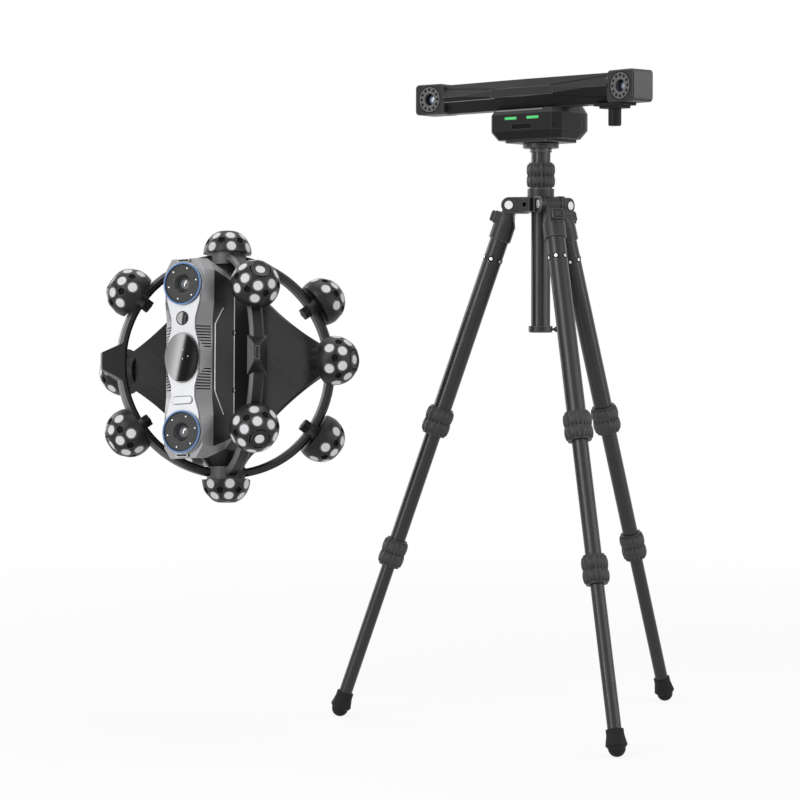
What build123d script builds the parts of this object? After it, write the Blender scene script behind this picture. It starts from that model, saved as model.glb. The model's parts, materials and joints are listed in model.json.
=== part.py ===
from build123d import *
from math import cos, radians, sin
import os

# Handheld 3-D scanner in a cage of marker balls, with its optical tracker bar on a travel tripod.
# Millimetres, +Z up. The floor is z = 0 and the origin is the middle of the set's footprint.

# Places of the two units on the floor plan
COLUMN_X = 178.3
COLUMN_Y = 27.5
SCANNER_FROM_COLUMN = (-377.0, 10.0)
SCANNER_HEIGHT = 430.0
SCANNER_YAW = -25.5
SCANNER_LEAN = -7.5
TRACKER_YAW = -43.0

# Clearances
RUNNING_GAP = 0.35   # round sliding and turning fits, per side
FACE_GAP = 0.3       # between faces of pieces that move on each other
SLOT_GAP = 0.4       # around square stems and buttons, per side

# Legs
LEG_SPLAY = 19.1
LEG_HEADINGS = (167.1, 287.1, 47.1)
PIVOT_RADIUS = 36.0
UPPER_OD, UPPER_WALL = 22.5, 1.4
MIDDLE_OD, MIDDLE_WALL = 19.0, 1.15
LOWER_OD, LOWER_WALL = 16.0, 1.2
UPPER_LOCK_AT = 275.0    # from the pivot down the leg to the middle of the lock
LOWER_LOCK_AT = 445.0
LOCK_LENGTH = 34.0
UPPER_LOCK_RADIUS = 16.6
LOWER_LOCK_RADIUS = 15.2
LOCK_NECK = 2.6          # how far the waist of a lock lies inside its bulges
LEG_LENGTH = 659.0
TUBE_OVERLAP = 45.0      # of an inner tube held inside the outer one at full length
TUBE_IN_LOCK = 24.0      # of an outer tube held inside its lock
FOOT_LENGTH = 31.0
FOOT_TOP_RADIUS = 10.2
FOOT_FLARE_RADIUS = 12.6
FOOT_TIP_RADIUS = 10.0

# Leg castings, pins and angle tabs
BARREL_RADIUS = 8.0
BARREL_WIDTH = 20.0
EAR_THICKNESS = 5.0
EAR_RADIUS = 9.5
PIN_RADIUS = 3.0
PIN_HEAD_RADIUS = 5.0
PIN_HEAD_HEIGHT = 1.6
SOCKET_RADIUS = 13.4
SOCKET_TOP = 27.0
SOCKET_LENGTH = 17.0
TAB_WIDTH, TAB_HEIGHT, TAB_THICKNESS = 15.0, 13.0, 4.5
TAB_SEAT_PROUD = 0.5
TAB_STEM = 7.0
TAB_STEM_LENGTH = 5.0
TAB_TRAVEL = 4.0
TAB_AT = 18.5            # from the pivot down the casting

# Crown
HUB_RADIUS = 25.0
HUB_HEIGHT = 18.0
HUB_TOP_ABOVE_PIVOT = 9.5
COLLAR_RADIUS = 16.0
COLLAR_HEIGHT = 10.0
SOCKET_BOSS_SIZE = 16.0
SOCKET_BOSS_REACH = 31.0
SOCKET_BOSS_HEADING = 227.1
ACCESSORY_BORE_RADIUS = 3.175
ACCESSORY_BORE_DEPTH = 12.0

# Column
COLUMN_OD, COLUMN_WALL = 23.0, 1.6
COLUMN_BELOW_CROWN = 140.0
COLUMN_NECK = 17.0
NECK_COLLAR_RADIUS, NECK_COLLAR_HEIGHT, NECK_GROOVE = 13.2, 4.6, 1.2
COLUMN_LOCK_LENGTH = 31.0
COLUMN_LOCK_RADIUS = 16.8
END_CAP_RADIUS = 14.4
END_CAP_HEIGHT = 8.0
HOOK_STEM = 3.0
HOOK_BALL_RADIUS = 3.4
PLATE_RADIUS = 21.5
PLATE_THICKNESS = 6.0
STUD_RADIUS = 4.6
STUD_HEIGHT = 11.0
SPIGOT_WALL = 2.0
SPIGOT_HEIGHT = 12.0

# Tracker: base unit on the column, bar in a seat on top of it
BOTTOM_PLATE_WIDTH, BOTTOM_PLATE_DEPTH, BOTTOM_PLATE_HEIGHT = 70.0, 56.0, 3.5
BASE_WIDTH, BASE_DEPTH, BASE_HEIGHT = 110.0, 72.0, 41.0
BASE_FOOT_INSET = 6.0
BASE_SHOULDER_INSET = 5.0
BASE_FRONT_CHAMFER = 9.0
BASE_REAR_RADIUS = 24.0
BASE_SEAM_Y = 10.0
BAR_SEAT_DEPTH = 5.0
BAR_Y = -20.0
BAR_LENGTH = 342.0
BAR_DEPTH = 32.0
BAR_HEIGHT = 35.0
BAR_SEAM = 11.0          # of the bar's depth that the front cover takes
BAR_RAKE_TOP, BAR_RAKE_BOTTOM = 0.42, 0.5
BAR_FACET_TWIST = 0.03
END_BLOCK_WIDTH, END_BLOCK_HEIGHT = 43.0, 37.0
END_BLOCK_CORNER = 5.0
TOE_IN = 6.0
LENS_RING_RADIUS, LENS_RADIUS = 16.0, 7.4
LENS_RING_DEPTH = 3.0
LENS_RECESS = 4.0
PANEL_LENGTH, PANEL_HEIGHT, PANEL_PROUD = 96.0, 10.0, 0.7
LIGHT_LENGTH, LIGHT_HEIGHT, LIGHT_DEPTH = 18.0, 3.0, 2.0
LIGHT_SPACING = 34.0
LIGHT_ABOVE_BASE = 25.0
STATUS_SLOT_LENGTH, STATUS_SLOT_HEIGHT, STATUS_SLOT_DEPTH = 30.0, 6.0, 1.5
STATUS_SLOT_ABOVE_BASE = 15.0
CLAMP_X = 128.0
CLAMP_PLATE_LENGTH, CLAMP_PLATE_WIDTH, CLAMP_PLATE_HEIGHT = 44.0, 24.0, 3.0
CLAMP_STEM_RADIUS, CLAMP_STEM_LENGTH = 7.6, 20.0
POWER_BUTTON_RADIUS, POWER_BUTTON_DEPTH, POWER_BUTTON_TRAVEL = 5.0, 4.0, 0.8
POWER_BUTTON_X = 24.0
PORT_WIDTH, PORT_HEIGHT, PORT_DEPTH = 34.0, 14.0, 5.0
PORT_X = -8.0

# Cage of the handheld scanner, in its own frame: front -Y, right +X, up +Z, centre at the origin
HOOP_OUTER, HOOP_INNER, HOOP_WIDTH = 135.0, 125.0, 17.0
HOOP_BEVEL = 3.0
POLE_SEAT_Z, POLE_SEAT_RADIUS = 121.8, 23.0
POLE_BALL_Z = 137.0
HOOP_AZIMUTHS = (45.0, -45.0)
BALL_RADIUS = 29.0
BALL_FLAT_HEIGHT = 26.4      # of the outer pole cap above the ball's centre
BALL_CUT = 10.0              # of the inner flat below the ball's centre
BALL_ELEVATION = 35.0
BALL_WALL = 2.4
BALL_SCREW_RADIUS = 3.0
BALL_SEAT_PROUD = 0.5        # of the round seat above the hoop
BALL_PAD_RADIUS = 11.0
KNOB_RADIUS, KNOB_HEIGHT, KNOB_LOBES = 7.8, 8.0, 6
NOSE_BASE_WIDTH, NOSE_BASE_HEIGHT = 24.0, 46.0
NOSE_END_WIDTH, NOSE_END_HEIGHT = 8.0, 20.0
NOSE_REACH = 21.0
NOSE_SHIFT = 8.0         # of a nose's end toward the middle of the front

# Scanner housing
PLATE_FRONT_Y, PLATE_DEPTH = -105.0, 3.0
BEVEL_Y, SEAM_Y, HOUSING_REAR_Y = -90.0, -58.0, -12.0
HOUSING_WALL = 3.0
HOUSING_HALF_HEIGHT = 117.0
REAR_HALF_HEIGHT = 105.0
CAMERA_Z = 87.0
CAMERA_RING_RADIUS, CAMERA_RADIUS = 25.0, 22.6
CAMERA_PROUD = 2.5
PLATE_END_RADIUS = 25.6      # of the plate's round end about a camera
HOUSING_TAB_LENGTH, HOUSING_TAB_HEIGHT, HOUSING_TAB_PROUD = 16.0, 3.4, 3.4
HOUSING_TAB_Z = 114.4
CAMERA_WELL_RADIUS, CAMERA_WELL_DEPTH, CAMERA_LENS_RADIUS = 11.0, 5.0, 6.5
WAIST_Z = 40.0
PLATE_HALF_WIDTHS = (16.0, 24.0, 21.5, 15.5, 20.0)
BEVEL_HALF_WIDTHS = (24.0, 33.0, 33.0, 31.0, 31.0)
REAR_HALF_WIDTHS = (31.0, 41.0, 42.0, 42.0, 42.0)
REAR_FACE_HALF_WIDTHS = (26.0, 36.0, 37.0, 37.0, 37.0)
REAR_BEVEL = 8.0
PLATE_MARGIN = 1.2           # of the housing's face beyond the plate
WINDOW_HALF_WIDTH, WINDOW_HALF_HEIGHT, WINDOW_PROUD = 21.4, 28.4, 6.0
AIMING_LENS_RADIUS, AIMING_LENS_Z = 7.2, 46.5
PILL_LENGTH, PILL_HEIGHT, PILL_PROUD, PILL_Z = 26.0, 7.6, 1.6, -50.0
VENT_SLOTS, VENT_PITCH, VENT_HEIGHT = 8, 3.4, 1.6
VENT_START_Z, VENT_GROWING = 13.0, 5
VENT_OUTER_X, VENT_DEPTH, VENT_SHORTEST, VENT_STEP = 30.0, 14.0, 6.0, 1.7

# Wings and saddles that carry the cage
WING_THICKNESS = 9.0
WING_ROOT_HALF_HEIGHT, WING_TIP_HALF_HEIGHT = 97.0, 19.0
WING_SAG = 7.0           # how far each edge of a wing curves in from a straight line
WING_NODE_RADIUS = 20.0
SADDLE_ROOT_Z = 90.0
SADDLE_ROOT_HALF_WIDTH, SADDLE_FRONT_Y, SADDLE_REAR_Y = 45.0, -62.0, 44.0
SADDLE_TIP_HALF_WIDTH = 21.0
SADDLE_CORNER, SADDLE_TIP_CORNER = 12.0, 20.0
SADDLE_SAG = 5.0
SADDLE_WALL = 4.0

# Rear grip with its buttons
GRIP_Y = 62.0
GRIP_HALF_HEIGHT = 62.0
GRIP_WIDTH, GRIP_DEPTH = 30.0, 36.0
GRIP_ARM_HEIGHT = 22.0
SCAN_BUTTON_RADIUS, SCAN_BUTTON_TRAVEL = 8.0, 1.5
SCAN_BUTTON_Z = 34.0
MODE_BUTTON_WIDTH, MODE_BUTTON_HEIGHT, MODE_BUTTON_TRAVEL = 13.0, 22.0, 1.0
BUTTON_DEPTH = 5.0

# Places worked out from the sizes above
SPLAY = radians(LEG_SPLAY)
PIVOT_Z = (LEG_LENGTH - FOOT_TIP_RADIUS) * cos(SPLAY) + FOOT_TIP_RADIUS
HUB_TOP = PIVOT_Z + HUB_TOP_ABOVE_PIVOT
HUB_BOTTOM = HUB_TOP - HUB_HEIGHT
COLLAR_TOP = HUB_TOP + COLLAR_HEIGHT
COLUMN_LOCK_BOTTOM = COLLAR_TOP + FACE_GAP
COLUMN_LOCK_TOP = COLUMN_LOCK_BOTTOM + COLUMN_LOCK_LENGTH
PLATE_BOTTOM = COLUMN_LOCK_TOP + COLUMN_NECK
PLATE_TOP = PLATE_BOTTOM + PLATE_THICKNESS
COLUMN_BOTTOM = HUB_BOTTOM - COLUMN_BELOW_CROWN
SPIGOT_RADIUS = COLUMN_OD / 2 + RUNNING_GAP + SPIGOT_WALL
COLUMN_PLACE = Location((COLUMN_X, COLUMN_Y, 0))

nodes = {}


def turned(*points):
    """Revolve a closed profile of (radius, height) points about Z."""
    outline = Polyline(*[(r, 0, z) for r, z in points], close=True)
    return revolve(make_face(outline), Axis.Z, 360)


def tube(outer, wall, bottom, top):
    return turned((outer - wall, bottom), (outer, bottom), (outer, top), (outer - wall, top))


def disc(radius, bottom, height):
    return Pos(0, 0, bottom) * Cylinder(radius, height, align=(Align.CENTER, Align.CENTER, Align.MIN))


def twist_lock(top, length, radius, upper_bore, lower_bore, step):
    """Collar with two rounded bulges; the bore narrows below the end of the tube it holds."""
    bottom, middle = top - length, top - length / 2
    neck = radius - LOCK_NECK
    rim = 0.08 * length
    face = make_face([
        Line((upper_bore, 0, top), (neck, 0, top)),
        Line((neck, 0, top), (neck, 0, top - rim)),
        ThreePointArc((neck, 0, top - rim), (radius, 0, (top + middle) / 2), (neck, 0, middle)),
        ThreePointArc((neck, 0, middle), (radius, 0, (bottom + middle) / 2), (neck, 0, bottom + rim)),
        Line((neck, 0, bottom + rim), (neck, 0, bottom)),
        Line((neck, 0, bottom), (lower_bore, 0, bottom)),
        Line((lower_bore, 0, bottom), (lower_bore, 0, top - step)),
        Line((lower_bore, 0, top - step), (upper_bore, 0, top - step)),
        Line((upper_bore, 0, top - step), (upper_bore, 0, top)),
    ])
    return revolve(face, Axis.Z, 360)


# Leg pieces stand in the leg's own frame: pivot at the origin, leg down -Z, outward +X
def leg_casting():
    barrel = Rot(90, 0, 0) * Cylinder(BARREL_RADIUS, BARREL_WIDTH)
    shoulder = SOCKET_TOP - 3
    web = Pos(0, 0, -shoulder / 2) * Box(2 * BARREL_RADIUS - 1, BARREL_WIDTH, shoulder)
    web = fillet(web.edges().filter_by(Axis.Z), 4)
    flare_top = Plane.XY.offset(-EAR_RADIUS - 2) * RectangleRounded(2 * BARREL_RADIUS, BARREL_WIDTH, 4)
    flare_end = Plane.XY.offset(-shoulder) * Circle(SOCKET_RADIUS)
    flare = loft([flare_top, flare_end])
    socket = disc(SOCKET_RADIUS, -SOCKET_TOP - SOCKET_LENGTH, SOCKET_LENGTH + 3)
    socket = chamfer(socket.edges().group_by(Axis.Z)[0], 0.8)
    face_x = SOCKET_RADIUS + TAB_SEAT_PROUD
    tab_seat = Pos(face_x / 2, 0, -TAB_AT) * Box(face_x, TAB_WIDTH + 2, TAB_HEIGHT + 2)
    body = barrel + web + flare + socket + tab_seat
    slot_side = TAB_STEM + 2 * SLOT_GAP
    slot_depth = TAB_STEM_LENGTH + FACE_GAP
    slot = Pos(face_x - slot_depth / 2, 0, -TAB_AT) * Box(slot_depth, slot_side, slot_side)
    bore = disc(UPPER_OD / 2, -SOCKET_TOP - SOCKET_LENGTH, SOCKET_LENGTH)
    pin_hole = Rot(90, 0, 0) * Cylinder(PIN_RADIUS + RUNNING_GAP, BARREL_WIDTH + 2)
    return body - slot - bore - pin_hole


def angle_tab():
    plate_at = SOCKET_RADIUS + TAB_SEAT_PROUD + FACE_GAP
    plate = Pos(plate_at + TAB_THICKNESS / 2, 0, -TAB_AT) * Box(TAB_THICKNESS, TAB_WIDTH, TAB_HEIGHT)
    plate = fillet(plate.edges().filter_by(Axis.X), 3.2)
    plate = chamfer(plate.edges().group_by(Axis.X)[-1], 0.8)
    stem_end = plate_at - TAB_STEM_LENGTH
    stem = Pos((stem_end + plate_at) / 2, 0, -TAB_AT) * Box(plate_at - stem_end, TAB_STEM, TAB_STEM)
    return plate + stem


def leg_foot():
    top, tip = -(LEG_LENGTH - FOOT_LENGTH), -LEG_LENGTH
    flare_z = tip + FOOT_TIP_RADIUS
    face = make_face([
        Line((0, 0, top - 1), (LOWER_OD / 2, 0, top - 1)),
        Line((LOWER_OD / 2, 0, top - 1), (LOWER_OD / 2, 0, top)),
        Line((LOWER_OD / 2, 0, top), (FOOT_TOP_RADIUS, 0, top)),
        Line((FOOT_TOP_RADIUS, 0, top), (FOOT_TOP_RADIUS, 0, top - 6)),
        Line((FOOT_TOP_RADIUS, 0, top - 6), (FOOT_FLARE_RADIUS, 0, flare_z + 3)),
        Line((FOOT_FLARE_RADIUS, 0, flare_z + 3), (FOOT_TIP_RADIUS, 0, flare_z)),
        ThreePointArc(
            (FOOT_TIP_RADIUS, 0, flare_z),
            (FOOT_TIP_RADIUS * cos(radians(45)), 0, flare_z - FOOT_TIP_RADIUS * sin(radians(45))),
            (0, 0, tip),
        ),
        Line((0, 0, tip), (0, 0, top - 1)),
    ])
    return revolve(face, Axis.Z, 360)


def leg_pieces():
    upper_end = UPPER_LOCK_AT - LOCK_LENGTH / 2 + TUBE_IN_LOCK - 0.5
    lower_end = LOWER_LOCK_AT - LOCK_LENGTH / 2 + TUBE_IN_LOCK - 0.5
    foot_top = LEG_LENGTH - FOOT_LENGTH + 1
    return {
        "casting": leg_casting(),
        "angle_tab": angle_tab(),
        "upper_tube": tube(UPPER_OD / 2, UPPER_WALL, -upper_end, -SOCKET_TOP),
        "upper_lock": twist_lock(
            -(UPPER_LOCK_AT - LOCK_LENGTH / 2), LOCK_LENGTH, UPPER_LOCK_RADIUS,
            UPPER_OD / 2 + RUNNING_GAP, MIDDLE_OD / 2 + RUNNING_GAP, TUBE_IN_LOCK),
        "middle_tube": tube(MIDDLE_OD / 2, MIDDLE_WALL, -lower_end, TUBE_OVERLAP - upper_end),
        "lower_lock": twist_lock(
            -(LOWER_LOCK_AT - LOCK_LENGTH / 2), LOCK_LENGTH, LOWER_LOCK_RADIUS,
            MIDDLE_OD / 2 + RUNNING_GAP, LOWER_OD / 2 + RUNNING_GAP, TUBE_IN_LOCK),
        "lower_tube": tube(LOWER_OD / 2, LOWER_WALL, -foot_top, TUBE_OVERLAP - lower_end),
        "foot": leg_foot(),
    }


def pivot_place(heading):
    """Pivot frame of a leg: +X points outward along its heading."""
    return COLUMN_PLACE * Rot(0, 0, heading) * Pos(PIVOT_RADIUS, 0, PIVOT_Z)


for number, heading in enumerate(LEG_HEADINGS, 1):
    leg_place = pivot_place(heading) * Rot(0, -LEG_SPLAY, 0)
    for name, piece in leg_pieces().items():
        nodes[f"leg_{number}_{name}"] = leg_place * piece


# Crown: hub, collar, three pairs of ears and an accessory socket
def crown():
    body = disc(HUB_RADIUS, HUB_BOTTOM, HUB_HEIGHT)
    body = chamfer(body.edges().group_by(Axis.Z)[-1], 2)
    body += disc(COLLAR_RADIUS, HUB_TOP, COLLAR_HEIGHT)
    ear_middle = BARREL_WIDTH / 2 + FACE_GAP + EAR_THICKNESS / 2
    for heading in LEG_HEADINGS:
        for side in (-1, 1):
            round_end = Pos(PIVOT_RADIUS, side * ear_middle, PIVOT_Z) * Rot(90, 0, 0) * Cylinder(
                EAR_RADIUS, EAR_THICKNESS)
            arm_from = HUB_RADIUS - 8
            arm = Pos((arm_from + PIVOT_RADIUS) / 2, side * ear_middle, PIVOT_Z) * Box(
                PIVOT_RADIUS - arm_from, EAR_THICKNESS, 2 * EAR_RADIUS)
            body += Rot(0, 0, heading) * (round_end + arm)
    for heading in LEG_HEADINGS:
        room = Pos(PIVOT_RADIUS, 0, PIVOT_Z) * Rot(90, 0, 0) * Cylinder(
            BARREL_RADIUS + 0.8, BARREL_WIDTH + 2 * FACE_GAP)
        hole = Pos(PIVOT_RADIUS, 0, PIVOT_Z) * Rot(90, 0, 0) * Cylinder(PIN_RADIUS, 60)
        body -= Rot(0, 0, heading) * room
        body -= Rot(0, 0, heading) * hole
    boss_from = COLUMN_OD / 2 + 4
    boss = Pos((boss_from + SOCKET_BOSS_REACH) / 2, 0, PIVOT_Z) * Box(
        SOCKET_BOSS_REACH - boss_from, SOCKET_BOSS_SIZE, SOCKET_BOSS_SIZE)
    boss = chamfer(boss.edges().group_by(Axis.X)[-1], 1)
    socket = Pos(SOCKET_BOSS_REACH - ACCESSORY_BORE_DEPTH / 2, 0, PIVOT_Z) * Rot(0, 90, 0) * Cylinder(
        ACCESSORY_BORE_RADIUS, ACCESSORY_BORE_DEPTH)
    body += Rot(0, 0, SOCKET_BOSS_HEADING) * boss
    body -= Rot(0, 0, SOCKET_BOSS_HEADING) * socket
    body += disc(SPIGOT_RADIUS, COLLAR_TOP - 1, SPIGOT_HEIGHT + 1)
    body -= disc(COLUMN_OD / 2 + RUNNING_GAP, HUB_BOTTOM - 1, 2 * HUB_HEIGHT + COLLAR_HEIGHT + 2)
    return body


def pivot_pin():
    """Pin along Y through the ears, with a domed head at each end."""
    half = BARREL_WIDTH / 2 + FACE_GAP + EAR_THICKNESS
    shank = Rot(90, 0, 0) * Cylinder(PIN_RADIUS, 2 * half)
    for side in (-1, 1):
        head = Pos(0, side * (half + PIN_HEAD_HEIGHT / 2), 0) * Rot(90, 0, 0) * Cylinder(
            PIN_HEAD_RADIUS, PIN_HEAD_HEIGHT)
        shank += head
    return shank


nodes["crown"] = COLUMN_PLACE * crown()
nodes["pivot_pins"] = Compound(children=[pivot_place(h) * pivot_pin() for h in LEG_HEADINGS])


# Centre column with its lock, end cap, hook and the round top plate
def end_cap():
    top = COLUMN_BOTTOM + END_CAP_HEIGHT / 2
    cap = disc(END_CAP_RADIUS, COLUMN_BOTTOM - END_CAP_HEIGHT / 2, END_CAP_HEIGHT)
    cap = chamfer(cap.edges().group_by(Axis.Z)[0], 1.5)
    cap -= tube(COLUMN_OD / 2, COLUMN_WALL, COLUMN_BOTTOM, top)
    hook_x = END_CAP_RADIUS + HOOK_STEM
    stem = Pos(hook_x - HOOK_STEM / 2, 0, COLUMN_BOTTOM) * Rot(0, 90, 0) * Cylinder(1.4, 2 * HOOK_STEM)
    return cap + stem + Pos(hook_x + HOOK_BALL_RADIUS / 2, 0, COLUMN_BOTTOM) * Sphere(HOOK_BALL_RADIUS)


def top_plate():
    plate = disc(PLATE_RADIUS, PLATE_BOTTOM, PLATE_THICKNESS)
    plate = chamfer(plate.edges().filter_by(GeomType.CIRCLE), 0.8)
    stud = disc(STUD_RADIUS, PLATE_TOP, STUD_HEIGHT)
    wall = NECK_COLLAR_RADIUS - COLUMN_OD / 2
    bottom = PLATE_BOTTOM - NECK_COLLAR_HEIGHT
    collar = tube(NECK_COLLAR_RADIUS, wall, bottom, PLATE_BOTTOM)
    groove_bottom = bottom + (NECK_COLLAR_HEIGHT - NECK_GROOVE) / 2
    collar -= tube(NECK_COLLAR_RADIUS, NECK_GROOVE, groove_bottom, groove_bottom + NECK_GROOVE)
    return plate + stud + collar


nodes["column_tube"] = COLUMN_PLACE * tube(COLUMN_OD / 2, COLUMN_WALL, COLUMN_BOTTOM, PLATE_BOTTOM)
nodes["column_end_cap"] = COLUMN_PLACE * end_cap()
nodes["column_top_plate"] = COLUMN_PLACE * top_plate()
nodes["column_lock"] = COLUMN_PLACE * twist_lock(
    COLUMN_LOCK_TOP, COLUMN_LOCK_LENGTH, COLUMN_LOCK_RADIUS,
    COLUMN_OD / 2 + RUNNING_GAP, SPIGOT_RADIUS + RUNNING_GAP,
    COLUMN_LOCK_LENGTH - SPIGOT_HEIGHT - FACE_GAP)

# Tracker, in the column's frame: front -Y before the whole unit is turned
BOTTOM_PLATE_BOTTOM = PLATE_TOP + FACE_GAP
BASE_BOTTOM = BOTTOM_PLATE_BOTTOM + BOTTOM_PLATE_HEIGHT
BASE_TOP = BASE_BOTTOM + BASE_HEIGHT
BAR_BOTTOM = BASE_TOP - BAR_SEAT_DEPTH
BAR_FRONT_Y = BAR_Y - BAR_DEPTH / 2
BAR_MIDDLE_Z = BAR_BOTTOM + BAR_HEIGHT / 2
TRACKER_PLACE = COLUMN_PLACE * Rot(0, 0, TRACKER_YAW)


def base_section(width, depth, z):
    """Plan of the base unit: chamfered corners in front, round corners behind."""
    w, front, back = width / 2, -depth / 2, depth / 2
    c, r = BASE_FRONT_CHAMFER, BASE_REAR_RADIUS
    slant = r * sin(radians(45))
    outline = [
        Line((-w + c, front), (w - c, front)),
        Line((w - c, front), (w, front + c)),
        Line((w, front + c), (w, back - r)),
        ThreePointArc((w, back - r), (w - r + slant, back - r + slant), (w - r, back)),
        Line((w - r, back), (-w + r, back)),
        ThreePointArc((-w + r, back), (-w + r - slant, back - r + slant), (-w, back - r)),
        Line((-w, back - r), (-w, front + c)),
        Line((-w, front + c), (-w + c, front)),
    ]
    return Pos(0, 0, z) * make_face(outline)


def base_body():
    foot = base_section(BASE_WIDTH - 2 * BASE_FOOT_INSET, BASE_DEPTH - 2 * BASE_FOOT_INSET, BASE_BOTTOM)
    low = base_section(BASE_WIDTH, BASE_DEPTH, BASE_BOTTOM + 10)
    high = base_section(BASE_WIDTH, BASE_DEPTH, BASE_TOP - 11)
    top = base_section(
        BASE_WIDTH - 2 * BASE_SHOULDER_INSET, BASE_DEPTH - 2 * BASE_SHOULDER_INSET, BASE_TOP)
    body = loft([foot, low, high, top], ruled=True)
    body -= Pos(0, BAR_Y, BASE_TOP) * Box(BASE_WIDTH + 2, BAR_DEPTH + 1, 2 * BAR_SEAT_DEPTH)
    body -= disc(STUD_RADIUS + RUNNING_GAP, BASE_BOTTOM - 1, STUD_HEIGHT)
    front_y = -BASE_DEPTH / 2
    for side in (-1, 1):
        light_at = (side * LIGHT_SPACING / 2, front_y + LIGHT_DEPTH / 2, BASE_BOTTOM + LIGHT_ABOVE_BASE)
        body -= Pos(*light_at) * Box(LIGHT_LENGTH, LIGHT_DEPTH, LIGHT_HEIGHT)
    body -= Pos(0, front_y, BASE_BOTTOM + STATUS_SLOT_ABOVE_BASE) * Box(
        STATUS_SLOT_LENGTH, 2 * STATUS_SLOT_DEPTH, STATUS_SLOT_HEIGHT)
    back_y = BASE_DEPTH / 2
    button_pocket = POWER_BUTTON_DEPTH + POWER_BUTTON_TRAVEL
    body -= Pos(POWER_BUTTON_X, back_y - button_pocket / 2, BASE_MIDDLE_Z) * Rot(90, 0, 0) * Cylinder(
        POWER_BUTTON_RADIUS + SLOT_GAP, button_pocket)
    body -= Pos(PORT_X, back_y - PORT_DEPTH / 2, BASE_MIDDLE_Z) * Box(PORT_WIDTH, PORT_DEPTH, PORT_HEIGHT)
    return body


def status_lights():
    bars = []
    for side in (-1, 1):
        place = Pos(side * LIGHT_SPACING / 2, -BASE_DEPTH / 2 + LIGHT_DEPTH / 2 - 0.2,
                    BASE_BOTTOM + LIGHT_ABOVE_BASE)
        bars.append(place * Box(LIGHT_LENGTH, LIGHT_DEPTH - 0.4, LIGHT_HEIGHT))
    return Compound(children=bars)


def port_panel():
    """Recessed panel with a round power socket and two data sockets."""
    back = BASE_DEPTH / 2 - 1.5
    front = BASE_DEPTH / 2 - PORT_DEPTH
    middle = (front + back) / 2
    panel = Pos(PORT_X, middle, BASE_MIDDLE_Z) * Box(PORT_WIDTH, back - front, PORT_HEIGHT)
    panel -= Pos(PORT_X - 11, back, BASE_MIDDLE_Z) * Rot(90, 0, 0) * Cylinder(3.4, 4)
    for x in (1.0, 12.0):
        panel -= Pos(PORT_X + x, back, BASE_MIDDLE_Z) * Box(8.4, 4, 5)
    return panel


def end_block_place(side):
    middle_x = side * (BAR_LENGTH - END_BLOCK_WIDTH) / 2
    return Pos(middle_x, BAR_Y, BAR_BOTTOM + END_BLOCK_HEIGHT / 2) * Rot(0, 0, -side * TOE_IN)


def end_block():
    block = Box(END_BLOCK_WIDTH, BAR_DEPTH, END_BLOCK_HEIGHT)
    block = fillet(block.edges().filter_by(Axis.Y), END_BLOCK_CORNER)
    block = chamfer(block.edges().group_by(Axis.Y)[0], 1.2)
    front = -BAR_DEPTH / 2
    seat = Pos(0, front + LENS_RING_DEPTH / 2, 0) * Rot(90, 0, 0) * Cylinder(
        LENS_RING_RADIUS, LENS_RING_DEPTH)
    well = Pos(0, front + LENS_RECESS, 0) * Rot(90, 0, 0) * Cylinder(LENS_RADIUS, 2 * LENS_RECESS)
    return block - seat - well


def lens_ring():
    front = -BAR_DEPTH / 2
    ring = Pos(0, front + LENS_RING_DEPTH / 2, 0) * Rot(90, 0, 0) * (
        Cylinder(LENS_RING_RADIUS, LENS_RING_DEPTH) - Cylinder(LENS_RADIUS, LENS_RING_DEPTH))
    for step in range(12):
        hole = Rot(0, 30 * step, 0) * Pos(0, front, 12) * Rot(90, 0, 0) * Cylinder(1.1, 3)
        ring -= hole
    return ring


def bar_lens():
    """Domed glass at the bottom of the well."""
    seat_y = -BAR_DEPTH / 2 + 2 * LENS_RECESS
    bulge = 4.0
    radius = (LENS_RADIUS ** 2 + bulge ** 2) / (2 * bulge)
    dome = Pos(0, seat_y - bulge + radius, 0) * Sphere(radius)
    return dome & (Pos(0, seat_y - bulge / 2, 0) * Box(2 * radius, bulge, 2 * radius))


def bar_middle():
    """Bar between the end blocks, raked by two facets that cross at the centre."""
    length = BAR_LENGTH - 2 * END_BLOCK_WIDTH + 4
    body = Pos(0, BAR_Y, BAR_MIDDLE_Z) * Box(length, BAR_DEPTH, BAR_HEIGHT)
    body = chamfer(body.edges().filter_by(Axis.X).group_by(Axis.Y)[-1], 4)
    for twist in (-BAR_FACET_TWIST, BAR_FACET_TWIST):
        low = Plane(origin=(0, BAR_FRONT_Y, BAR_MIDDLE_Z - 4), z_dir=(twist, -1, -BAR_RAKE_BOTTOM))
        high = Plane(origin=(0, BAR_FRONT_Y, BAR_MIDDLE_Z + 9), z_dir=(twist, -1, BAR_RAKE_TOP))
        body = split(body, bisect_by=low, keep=Keep.BOTTOM)
        body = split(body, bisect_by=high, keep=Keep.BOTTOM)
    for side in (-1, 1):
        body -= end_block_place(side) * Box(END_BLOCK_WIDTH, BAR_DEPTH + 8, END_BLOCK_HEIGHT + 8)
    return body


def cable_clamp():
    """Stepped plate under the bar with a round post hanging from it."""
    plate = Pos(CLAMP_X, BAR_Y, BAR_BOTTOM - CLAMP_PLATE_HEIGHT / 2) * Box(
        CLAMP_PLATE_LENGTH, CLAMP_PLATE_WIDTH, CLAMP_PLATE_HEIGHT)
    step = Pos(CLAMP_X, BAR_Y, BAR_BOTTOM - 1.5 * CLAMP_PLATE_HEIGHT) * Box(
        CLAMP_PLATE_LENGTH - 14, CLAMP_PLATE_WIDTH - 4, CLAMP_PLATE_HEIGHT)
    stem = Pos(CLAMP_X, BAR_Y, BAR_BOTTOM - 2 * CLAMP_PLATE_HEIGHT - CLAMP_STEM_LENGTH / 2) * Cylinder(
        CLAMP_STEM_RADIUS, CLAMP_STEM_LENGTH)
    stem = chamfer(stem.edges().group_by(Axis.Z)[0], 1)
    return plate + step + stem


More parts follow.
